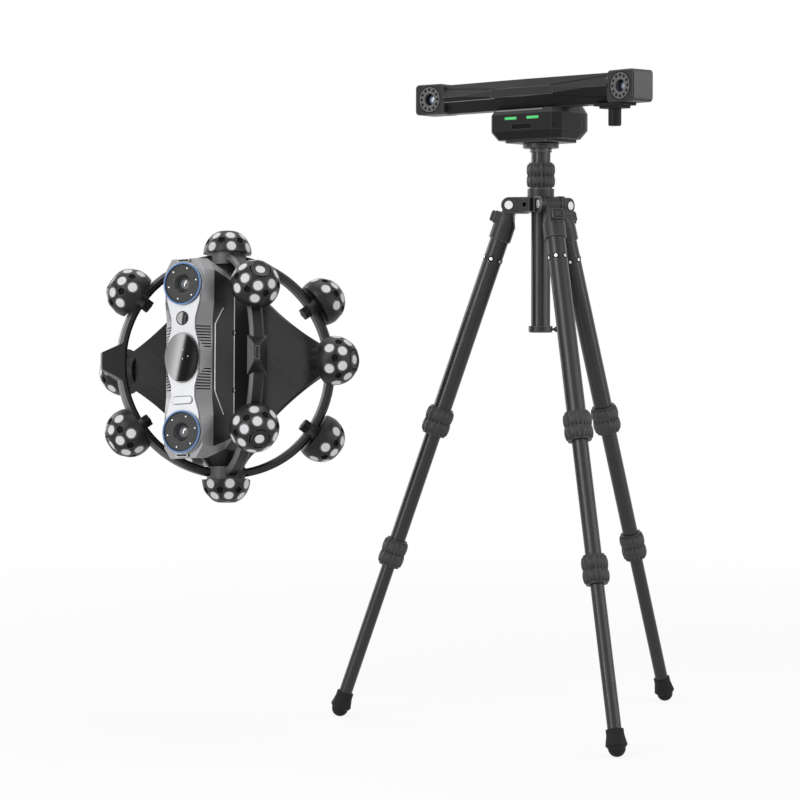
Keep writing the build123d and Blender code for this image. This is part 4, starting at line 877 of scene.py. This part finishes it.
# Pins round each leg below its casting, bright in a dark ring
pinSettings = {"below": 68.0, "tubeRadius": 11.25, "sink": 0.35, "around": 6, "start": 30.0, "pin": 1.95, "height": 0.6,
               "dome": 0.3, "sides": 16, "seat": 2.75, "seatThickness": 0.75}
for number, place in enumerate(legPlaces, 1):
    spots = []
    for step in range(pinSettings["around"]):
        at = place @ shift(0, 0, -pinSettings["below"]) @ turn(
            360 / pinSettings["around"] * step + pinSettings["start"], "Z") @ turn(90, "Y")
        spots.append(spotOn(at @ shift(0, 0, pinSettings["tubeRadius"] - pinSettings["sink"])))
    addRings(f"leg_{number}_pin_rings", f"leg_{number}", spots, pinSettings["seat"], pinSettings["seatThickness"],
             "pocketBlack")
    addStuds(f"leg_{number}_rivets", f"leg_{number}", spots, pinSettings["pin"], pinSettings["height"],
             pinSettings["dome"], pinSettings["sides"], "pinSteel")
print("leg pins are set")


# Marker balls: recessed reflector dots, pentagon pockets and a pole cap with four arc slots
ballSettings = {
    "radius": 29.0, "flat": 26.4, "cut": 10.0, "poleCut": 0.0, "seatAt": 145.5, "poleAt": 137.0,
    "elevation": 35.0, "segments": 72, "rings": 30,
    "perRing": 7, "ringOne": 46.0, "ringTwo": 78.5, "pocketRing": 62.8,
    "dotRadius": 5.6, "dotSeat": 28.15, "rimSeat": 28.12, "rimGap": 0.55, "pocketRadius": 5.2, "pocketFloor": 26.8,
    "slotInner": 10.9, "slotOuter": 13.0, "slotFloor": 24.2, "slotArc": 62.0, "slotSteps": 5,
    "dotSides": 24, "pocketSides": 5, "toolTop": 31.0,
    "capBevel": 1.2, "capRaise": 0.25, "capSink": 0.5, "capSteps": (9.6, 9.2, 6.6, 6.2),
    "deepUnderDot": 0.35, "deepUnderFlat": 0.8, "deepOverCut": 0.4,
    "dotHeight": 0.25, "dotDome": 0.3, "studSides": 20, "rimOut": 1.15, "rimThickness": 0.32,
}


def revolved(profile, segments):
    bm = bmesh.new()
    loops = []
    for radius, z in profile:
        if radius < 1e-6:
            loops.append([bm.verts.new((0, 0, z))])
        else:
            loops.append([bm.verts.new((radius * math.cos(math.tau * i / segments),
                                        radius * math.sin(math.tau * i / segments), z)) for i in range(segments)])
    for low, high in zip(loops, loops[1:]):
        for i in range(segments):
            j = (i + 1) % segments
            corners = [low[i % len(low)], low[j % len(low)], high[j % len(high)], high[i % len(high)]]
            unique = list(dict.fromkeys(corners))
            if len(unique) > 2:
                bm.faces.new(unique)
    return bm


def addPrism(bm, outline, low, high, place):
    floor = [bm.verts.new(place @ Vector((x, y, low))) for x, y in outline]
    roof = [bm.verts.new(place @ Vector((x, y, high))) for x, y in outline]
    bm.faces.new(list(reversed(floor)))
    bm.faces.new(roof)
    count = len(outline)
    for i in range(count):
        j = (i + 1) % count
        bm.faces.new((floor[i], floor[j], roof[j], roof[i]))


def circleOutline(radius, sides):
    return [(radius * math.cos(math.tau * i / sides), radius * math.sin(math.tau * i / sides)) for i in range(sides)]


def ballSpots(settings):
    step = 360 / settings["perRing"]
    rings = (settings["ringOne"], settings["ringTwo"])
    dots = [(ring, step * i) for ring in rings for i in range(settings["perRing"])]
    pockets = [(settings["pocketRing"], step * (i + 0.5)) for i in range(settings["perRing"])]
    return dots, pockets


def tilted(polar, around):
    return turn(around, "Z") @ turn(polar, "Y")


def ballTools(settings):
    bm = bmesh.new()
    dots, pockets = ballSpots(settings)
    top, steps = settings["toolTop"], settings["slotSteps"]
    dotOutline = circleOutline(settings["dotRadius"] + settings["rimGap"], settings["dotSides"])
    pocketOutline = circleOutline(settings["pocketRadius"], settings["pocketSides"])
    for polar, around in dots:
        addPrism(bm, dotOutline, settings["dotSeat"], top, tilted(polar, around))
    for polar, around in pockets:
        addPrism(bm, pocketOutline, settings["pocketFloor"], top, tilted(polar, around))
    half = settings["slotArc"] / 2
    for quarter in range(4):
        angles = [math.radians(90 * quarter + half * (i / steps - 1)) for i in range(2 * steps + 1)]
        outer = [(settings["slotOuter"] * math.cos(a), settings["slotOuter"] * math.sin(a)) for a in angles]
        inner = [(settings["slotInner"] * math.cos(a), settings["slotInner"] * math.sin(a)) for a in reversed(angles)]
        addPrism(bm, outer + inner, settings["slotFloor"], top, Matrix.Identity(4))
    return meshFrom(bm, "ballTools")


def ballProfile(settings, cut):
    radius, flat = settings["radius"], settings["flat"]
    low, high = math.asin(-cut / radius), math.asin(flat / radius)
    points = [(0.0, -cut)]
    for i in range(settings["rings"] + 1):
        angle = low + (high - low) * i / settings["rings"]
        points.append((radius * math.cos(angle), radius * math.sin(angle)))
    raised, sunk = flat + settings["capRaise"], flat - settings["capSink"]
    rimEdge, rimFoot, seatEdge, seatFoot = settings["capSteps"]
    return points + [(points[-1][0] - settings["capBevel"], raised), (rimEdge, raised), (rimFoot, flat),
                     (seatEdge, flat), (seatFoot, sunk), (0.0, sunk)]


def carvedBall(settings, cut):
    body = meshFrom(revolved(ballProfile(settings, cut), settings["segments"]), "markerBall")
    ball = bpy.data.objects.new("markerBall", body)
    tool = bpy.data.objects.new("ballTools", ballTools(settings))
    bpy.context.scene.collection.objects.link(ball)
    bpy.context.scene.collection.objects.link(tool)
    carve = ball.modifiers.new("carve", "BOOLEAN")
    carve.operation, carve.object, carve.solver = "DIFFERENCE", tool, "EXACT"
    depsgraph = bpy.context.evaluated_depsgraph_get()
    result = bpy.data.meshes.new_from_object(ball.evaluated_get(depsgraph), depsgraph=depsgraph)
    bpy.data.objects.remove(ball)
    bpy.data.objects.remove(tool)
    result.materials.clear()
    result.materials.append(finish["ballPlastic"])
    result.materials.append(finish["pocketBlack"])
    # Faces deep in the pockets and under the dots take the near-black finish: painted shade in the recesses
    within = settings["dotSeat"] - settings["deepUnderDot"]
    lowest, highest = -cut + settings["deepOverCut"], settings["flat"] - settings["deepUnderFlat"]
    for face in result.polygons:
        centre = Vector(face.center)
        face.material_index = 1 if centre.length < within and lowest < centre.z < highest else 0
    return result


def ballPlaces(settings):
    whole = [(azimuth, side * settings["elevation"]) for azimuth in (45, 135, 225, 315) for side in (1, -1)]
    whole += [(90, 0), (270, 0)]
    full = [outward(azimuth, elevation) @ shift(0, 0, settings["seatAt"]) for azimuth, elevation in whole]
    poles = [outward(0, elevation) @ shift(0, 0, settings["poleAt"]) for elevation in (90, -90)]
    return full, poles


def joinCopies(sources):
    bm = bmesh.new()
    for mesh, place in sources:
        copy = mesh.copy()
        copy.transform(place)
        bm.from_mesh(copy)
        bpy.data.meshes.remove(copy)
    mesh = bpy.data.meshes.new("joined")
    bm.to_mesh(mesh)
    bm.free()
    return mesh


fullPlaces, polePlaces = ballPlaces(ballSettings)
fullBall, halfBall = carvedBall(ballSettings, ballSettings["cut"]), carvedBall(ballSettings, ballSettings["poleCut"])
balls = joinCopies([(fullBall, place) for place in fullPlaces] + [(halfBall, place) for place in polePlaces])
for material in fullBall.materials:
    balls.materials.append(material)
addPiece("marker_ball_shells", balls, "scanner", scannerPlace, replaced=("scanner_marker_balls",))
dots, pockets = ballSpots(ballSettings)
dotSpots, rimSpots = [], []
for place in fullPlaces + polePlaces:
    for polar, around in dots:
        at = scannerPlace @ place @ tilted(polar, around)
        dotSpots.append(spotOn(at @ shift(0, 0, ballSettings["dotSeat"])))
        rimSpots.append(spotOn(at @ shift(0, 0, ballSettings["rimSeat"])))
    dotSpots.append(spotOn(scannerPlace @ place @ shift(0, 0, ballSettings["flat"] - ballSettings["capSink"])))
addStuds("marker_dots", "scanner", dotSpots, ballSettings["dotRadius"], ballSettings["dotHeight"],
         ballSettings["dotDome"], ballSettings["studSides"], "markerDot")
# The grey rings round the dots are a painted highlight on the edge of each dot's recess
addRings("marker_rim_highlights", "scanner", rimSpots, ballSettings["dotRadius"] + ballSettings["rimOut"],
         ballSettings["rimThickness"], "ringGrey")
print("marker balls are carved:", len(balls.polygons), "faces")


# Camera faces: a circle of six lamps round each lens, and fine steps round the well
cameraDetail = {"frontY": -105.0, "z": 87.0, "proud": 2.5, "sink": 0.1, "lamps": 6, "lampCircle": 18.6,
                "lampStart": 19.0, "lampRadius": 0.78, "lampHeight": 0.25, "lampDome": 0.35, "lampSides": 14,
                "seatGap": 0.45, "seatThickness": 0.22, "wellRings": (11.4, 13.6, 16.2), "wellThickness": 0.3}
lampSpots, stepSpots = [], []
for side in (-1, 1):
    face = scannerPlace @ shift(0, cameraDetail["frontY"], side * cameraDetail["z"]) @ turn(90, "X")
    level = cameraDetail["proud"] - cameraDetail["sink"]
    for i in range(cameraDetail["lamps"]):
        angle = 90 - cameraDetail["lampStart"] - 360 / cameraDetail["lamps"] * i
        lampSpots.append(spotOn(face @ turn(angle, "Z") @ shift(cameraDetail["lampCircle"], 0, level)))
    stepSpots.append(spotOn(face @ shift(0, 0, level)))
addStuds("camera_lamps", "scanner", lampSpots, cameraDetail["lampRadius"], cameraDetail["lampHeight"],
         cameraDetail["lampDome"], cameraDetail["lampSides"], "lampWhite")
addRings("camera_lamp_seats", "scanner", lampSpots, cameraDetail["lampRadius"] + cameraDetail["seatGap"],
         cameraDetail["seatThickness"], "blackPlastic")
for radius in cameraDetail["wellRings"]:
    addRings(f"camera_step_{int(radius * 10)}", "scanner", stepSpots, radius, cameraDetail["wellThickness"],
             "ballPlastic")
print("camera faces have their lamps")


# Camera rings: a thin blue line, with a paler blue line outside it that is a painted highlight on the ring's outer edge
blueLines = {"raise": 0.75, "lines": (("inner", 23.9, 0.42, "lineBlue"), ("outer", 24.95, 0.22, "linePaleBlueHighlight"))}
ringFaces = [spotOn(scannerPlace @ shift(0, cameraDetail["frontY"], side * cameraDetail["z"]) @ turn(90, "X")
                    @ shift(0, 0, cameraDetail["proud"] + blueLines["raise"])) for side in (-1, 1)]
for label, radius, thickness, colour in blueLines["lines"]:
    addRings(f"camera_blue_{label}", "scanner", ringFaces, radius, thickness, colour)


# Lines that lie on the solids: each local point is dropped along a direction onto the named nodes
def skinOf(nodeNames):
    corners, faces = [], []
    for name in nodeNames:
        cadObject = frame["nodes"][name]
        first = len(corners)
        corners += [cadObject.matrix_world @ v.co / mm for v in cadObject.data.vertices]
        faces += [[first + i for i in polygon.vertices] for polygon in cadObject.data.polygons]
    return BVHTree.FromPolygons(corners, faces)


def between(points, step=1.5):
    fine = [Vector(points[0])]
    for start, end in zip(points, points[1:]):
        start, end = Vector(start), Vector(end)
        count = max(1, math.ceil((end - start).length / step))
        fine += [start.lerp(end, i / count) for i in range(1, count + 1)]
    return fine


def aimAlong(place, direction):
    return (place.to_3x3() @ Vector(direction)).normalized()


def addLine(name, body, nodeNames, place, points, direction, radius, colour, reach=60):
    skin, aim = skinOf(nodeNames), aimAlong(place, direction)
    drops = [skin.ray_cast(place @ point, aim, reach)[0] for point in between(points)]
    hits = [hit for hit in drops if hit]
    if len(hits) < 2:
        print("line missed its solid:", name)
        return
    mesh = bpy.data.meshes.new(name)
    mesh.from_pydata([tuple(hit) for hit in hits], [(i, i + 1) for i in range(len(hits) - 1)], [])
    line = grow(ribTree, mesh, {"Count": 1, "Rib Radius": radius, "Material": finish[colour]})
    addPiece(name, line, body, None)


# Where a small piece sits on the solids: the point below it, and the way it faces
def seatOn(nodeNames, place, point, direction, reach=60):
    aim = aimAlong(place, direction)
    return skinOf(nodeNames).ray_cast(place @ Vector(point), aim, reach)[0], -aim


# Closed outlines about the origin: an oblong with round corners, and an oval
def roundedOutline(halfWidth, halfHeight, corner, steps, start=0.0):
    outline = []
    for i in range(steps + 1):
        angle = math.tau * (i + start) / steps
        across, up = math.cos(angle), math.sin(angle)
        outline.append((math.copysign(halfWidth, across) + corner * across,
                        math.copysign(halfHeight, up) + corner * up))
    return outline


def ovalOutline(halfWidth, halfHeight, steps):
    return [(halfWidth * math.cos(math.tau * i / steps), halfHeight * math.sin(math.tau * i / steps))
            for i in range(steps + 1)]


# Housing: a bright seam and a panel line on each side, and two silver screws in dark seats
housingNodes = ("scanner_housing_front", "scanner_housing_rear")
housingDetail = {
    "startX": 75.0, "seamY": -57.6, "seamHalf": 78.0, "seamLine": 0.6, "panelLine": 0.65,
    "panel": ((-75.0, 60.0), (-86.0, 40.0), (-86.0, -38.0), (-74.0, -66.0)),
    "screwsAt": (32.0, -36.0), "screw": 1.8, "screwHeight": 0.8, "screwDome": 0.35, "screwSides": 14,
    "seat": 2.6, "seatThickness": 0.7,
}
for side, label in ((1, "right"), (-1, "left")):
    startX, inwards = side * housingDetail["startX"], (-side, 0, 0)
    seam = [(startX, housingDetail["seamY"], end * housingDetail["seamHalf"]) for end in (-1, 1)]
    addLine(f"housing_seam_{label}", "scanner", housingNodes, scannerPlace, seam, inwards,
            housingDetail["seamLine"], "lineBright")
    panel = [(startX, y, z) for y, z in housingDetail["panel"]]
    addLine(f"side_panel_{label}", "scanner", housingNodes, scannerPlace, panel, inwards,
            housingDetail["panelLine"], "lineBright")
    screws = [seatOn(housingNodes, scannerPlace, (startX, housingDetail["seamY"], z), inwards)
              for z in housingDetail["screwsAt"]]
    addStuds(f"seam_screws_{label}", "scanner", screws, housingDetail["screw"], housingDetail["screwHeight"],
             housingDetail["screwDome"], housingDetail["screwSides"], "silverPaint")
    addRings(f"screw_seats_{label}", "scanner", screws, housingDetail["seat"], housingDetail["seatThickness"],
             "blackPlastic")

# Noses of the cage: a thin grey oblong on each side face
noseLine = {"azimuth": 45.0, "halfWidth": 2.4, "halfHeight": 7.6, "startZ": 170.0, "inset": 8.0, "line": 0.3}
for side, label in ((1, "right"), (-1, "left")):
    face = scannerPlace @ outward(side * noseLine["azimuth"], 0)
    oblong = [(x * noseLine["halfWidth"] - side * noseLine["inset"], y * noseLine["halfHeight"], noseLine["startZ"])
              for x, y in ((-1, -1), (1, -1), (1, 1), (-1, 1), (-1, -1))]
    addLine(f"nose_line_{label}", "scanner", ("scanner_cage_frame",), face, oblong, (0, 0, -1), noseLine["line"],
            "ringGrey")

# Outlines for the scanner's front start before it and are dropped backwards onto it
frontStart, backwards = -140.0, (0, 1, 0)


def onFront(outline, x=0.0, z=0.0):
    return [(x + across, frontStart, z + up) for across, up in outline]


windowDetail = {"dots": ((3.1, 8.6), (3.1, -2.1), (10.2, 0.6)), "dot": 0.75, "dotHeight": 0.12, "dotDome": 0.1,
                "dotSides": 12, "rimWidth": 22.4, "rimHeight": 29.4, "rimSteps": 48, "rimLine": 0.55}
dotSeats = [seatOn(("scanner_window",), scannerPlace, (x, frontStart, z), backwards) for x, z in windowDetail["dots"]]
addStuds("window_dots", "scanner", dotSeats, windowDetail["dot"], windowDetail["dotHeight"],
         windowDetail["dotDome"], windowDetail["dotSides"], "markerDot")
windowRim = ovalOutline(windowDetail["rimWidth"], windowDetail["rimHeight"], windowDetail["rimSteps"])
addLine("window_rim", "scanner", ("scanner_front_plate", "scanner_housing_front"), scannerPlace, onFront(windowRim),
        backwards, windowDetail["rimLine"], "lineLight")

pillDetail = {"z": -50.0, "half": 9.2, "end": 4.6, "steps": 32, "line": 0.4}
pillLine = roundedOutline(pillDetail["half"], 0.0, pillDetail["end"], pillDetail["steps"])
addLine("pill_line", "scanner", ("scanner_front_plate",), scannerPlace, onFront(pillLine, z=pillDetail["z"]),
        backwards, pillDetail["line"], "buttonGrey")

aimingDetail = {"x": -1.0, "z": 46.5, "radius": 7.7, "steps": 40, "line": 0.7}
aimingRing = ovalOutline(aimingDetail["radius"], aimingDetail["radius"], aimingDetail["steps"])
addLine("aiming_ring", "scanner", ("scanner_front_plate",), scannerPlace,
        onFront(aimingRing, aimingDetail["x"], aimingDetail["z"]), backwards, aimingDetail["line"],
        "cameraFace")

# End latches: a dark bar inside a bright rounded outline, above and below the cameras
latchSettings = {"z": 114.4, "half": 6.2, "corner": 1.5, "steps": 32, "line": 0.38, "bar": 1.1, "reach": 80.0}
latchLine = roundedOutline(latchSettings["half"], 0.0, latchSettings["corner"], latchSettings["steps"], 0.5)
latchBar = [(-latchSettings["half"], 0.0), (latchSettings["half"], 0.0)]
for side, label in ((1, "top"), (-1, "bottom")):
    latchZ = side * latchSettings["z"]
    addLine(f"latch_outline_{label}", "scanner", ("scanner_housing_front",), scannerPlace,
            onFront(latchLine, z=latchZ), backwards, latchSettings["line"], "lineBright",
            reach=latchSettings["reach"])
    addLine(f"latch_bar_{label}", "scanner", ("scanner_housing_front",), scannerPlace,
            onFront(latchBar, z=latchZ), backwards, latchSettings["bar"], "cameraFace",
            reach=latchSettings["reach"])
print("scanner has its seams and screws")


# Angle tabs: a rounded outline and a short dash on each face
tabSettings = {"from": 40.0, "z": -18.5, "halfWidth": 3.9, "halfHeight": 2.9, "corner": 1.6, "steps": 32,
               "dash": 1.7, "line": 0.32}
tabLine = roundedOutline(tabSettings["halfWidth"], tabSettings["halfHeight"], tabSettings["corner"],
                         tabSettings["steps"], 0.5)
tabDash = [(-tabSettings["dash"], 0.0), (tabSettings["dash"], 0.0)]
for number, place in enumerate(legPlaces, 1):
    for label, shape, colour in (("outline", tabLine, "pocketBlack"), ("dash", tabDash, "ringGrey")):
        points = [(tabSettings["from"], across, tabSettings["z"] + up) for across, up in shape]
        addLine(f"leg_{number}_tab_{label}", f"leg_{number}_tab", (f"leg_{number}_angle_tab",), place, points,
                (-1, 0, 0), tabSettings["line"], colour)
print("angle tabs are lined")


# Tracker bar: creases between its facets, each from one x and height over the bar's middle to another; the dark lines
# are painted shade in the creases and the light ones painted highlights on edges
barNodes = ("tracker_bar_front", "tracker_bar_rear")
barDetail = {
    "z": 754.37, "startY": -70.0, "reach": 70.0,
    "creases": (
        # label, start, end, line, finish
        ("upper_left", (-128.0, 13.0), (-43.0, 8.0), 0.4, "pocketBlack"),
        ("upper_right", (43.0, 8.0), (128.0, 14.5), 0.4, "pocketBlack"),
        ("lower_right", (43.0, -4.0), (128.0, -11.0), 0.4, "pocketBlack"),
        ("lower_left", (-128.0, -3.5), (-43.0, -3.5), 0.3, "lineLight"),
        ("block_edge", (125.0, 10.0), (127.0, 16.0), 0.45, "lineLight"),
    ),
}
for label, start, end, radius, colour in barDetail["creases"]:
    points = [(x, barDetail["startY"], barDetail["z"] + above) for x, above in (start, end)]
    addLine(f"bar_crease_{label}", "tracker", barNodes, trackerPlace, points, backwards, radius, colour,
            reach=barDetail["reach"])

# Tracker base: a light line above its slot, a near-black plate on the slot's floor as painted shade, and a dark disc
# for a small hole beside it, painted shade as well
baseNodes = ("tracker_base_front", "tracker_base_rear")
slitDetail = {"from": -41.0, "to": 30.0, "startY": -70.0, "z": 735.2, "line": 0.6}
slit = [(x, slitDetail["startY"], slitDetail["z"]) for x in (slitDetail["from"], slitDetail["to"])]
addLine("base_slit", "tracker", baseNodes, trackerPlace, slit, backwards, slitDetail["line"], "lineLight")
slotFloor = {"x": 14.6, "z": 715.87, "half": 2.7, "front": -35.4, "back": -34.6}
slotMesh = bmesh.new()
addPrism(slotMesh, [(x * slotFloor["x"], z * slotFloor["half"]) for x, z in ((-1, -1), (1, -1), (1, 1), (-1, 1))],
         -slotFloor["back"], -slotFloor["front"], shift(0, 0, slotFloor["z"]) @ turn(90, "X"))
addPiece("base_slot_painted_shade", meshFrom(slotMesh, "baseSlotPaintedShade"), "tracker", trackerPlace,
         [finish["pocketBlack"]])
keyholeDetail = {"start": (62.0, -48.0, 716.0), "inwards": (-0.7, 0.7, 0), "radius": 1.5, "height": 0.2,
                 "dome": 0.1, "sides": 16}
keyhole = seatOn(baseNodes, trackerPlace, keyholeDetail["start"], keyholeDetail["inwards"])
addStuds("base_keyhole", "tracker", [keyhole], keyholeDetail["radius"], keyholeDetail["height"],
         keyholeDetail["dome"], keyholeDetail["sides"], "pocketBlack")

# Tracker cameras: a dark ring and twelve lamps round each lens
blockFront = {"x": 149.5, "y": -20.0, "z": 755.37, "toeIn": 6.0, "depth": 32.0, "outline": 15.9,
              "outlineThickness": 0.55, "lamps": 12, "lampCircle": 12.0, "lampSink": 0.1, "lampRadius": 1.75,
              "lampHeight": 0.15, "lampDome": 0.3, "lampSides": 16}
for side, label in ((-1, "left"), (1, "right")):
    face = (trackerPlace @ shift(side * blockFront["x"], blockFront["y"], blockFront["z"])
            @ turn(-side * blockFront["toeIn"], "Z") @ shift(0, -blockFront["depth"] / 2, 0) @ turn(90, "X"))
    addRings(f"lens_outline_{label}", "tracker", [spotOn(face)], blockFront["outline"],
             blockFront["outlineThickness"], "pocketBlack")
    lampSpots = [spotOn(face @ turn(360 / blockFront["lamps"] * i, "Z")
                        @ shift(blockFront["lampCircle"], 0, -blockFront["lampSink"]))
                 for i in range(blockFront["lamps"])]
    addStuds(f"lens_lamps_{label}", "tracker", lampSpots, blockFront["lampRadius"], blockFront["lampHeight"],
             blockFront["lampDome"], blockFront["lampSides"], "pocketBlack")
print("tracker has its creases and lens lamps")
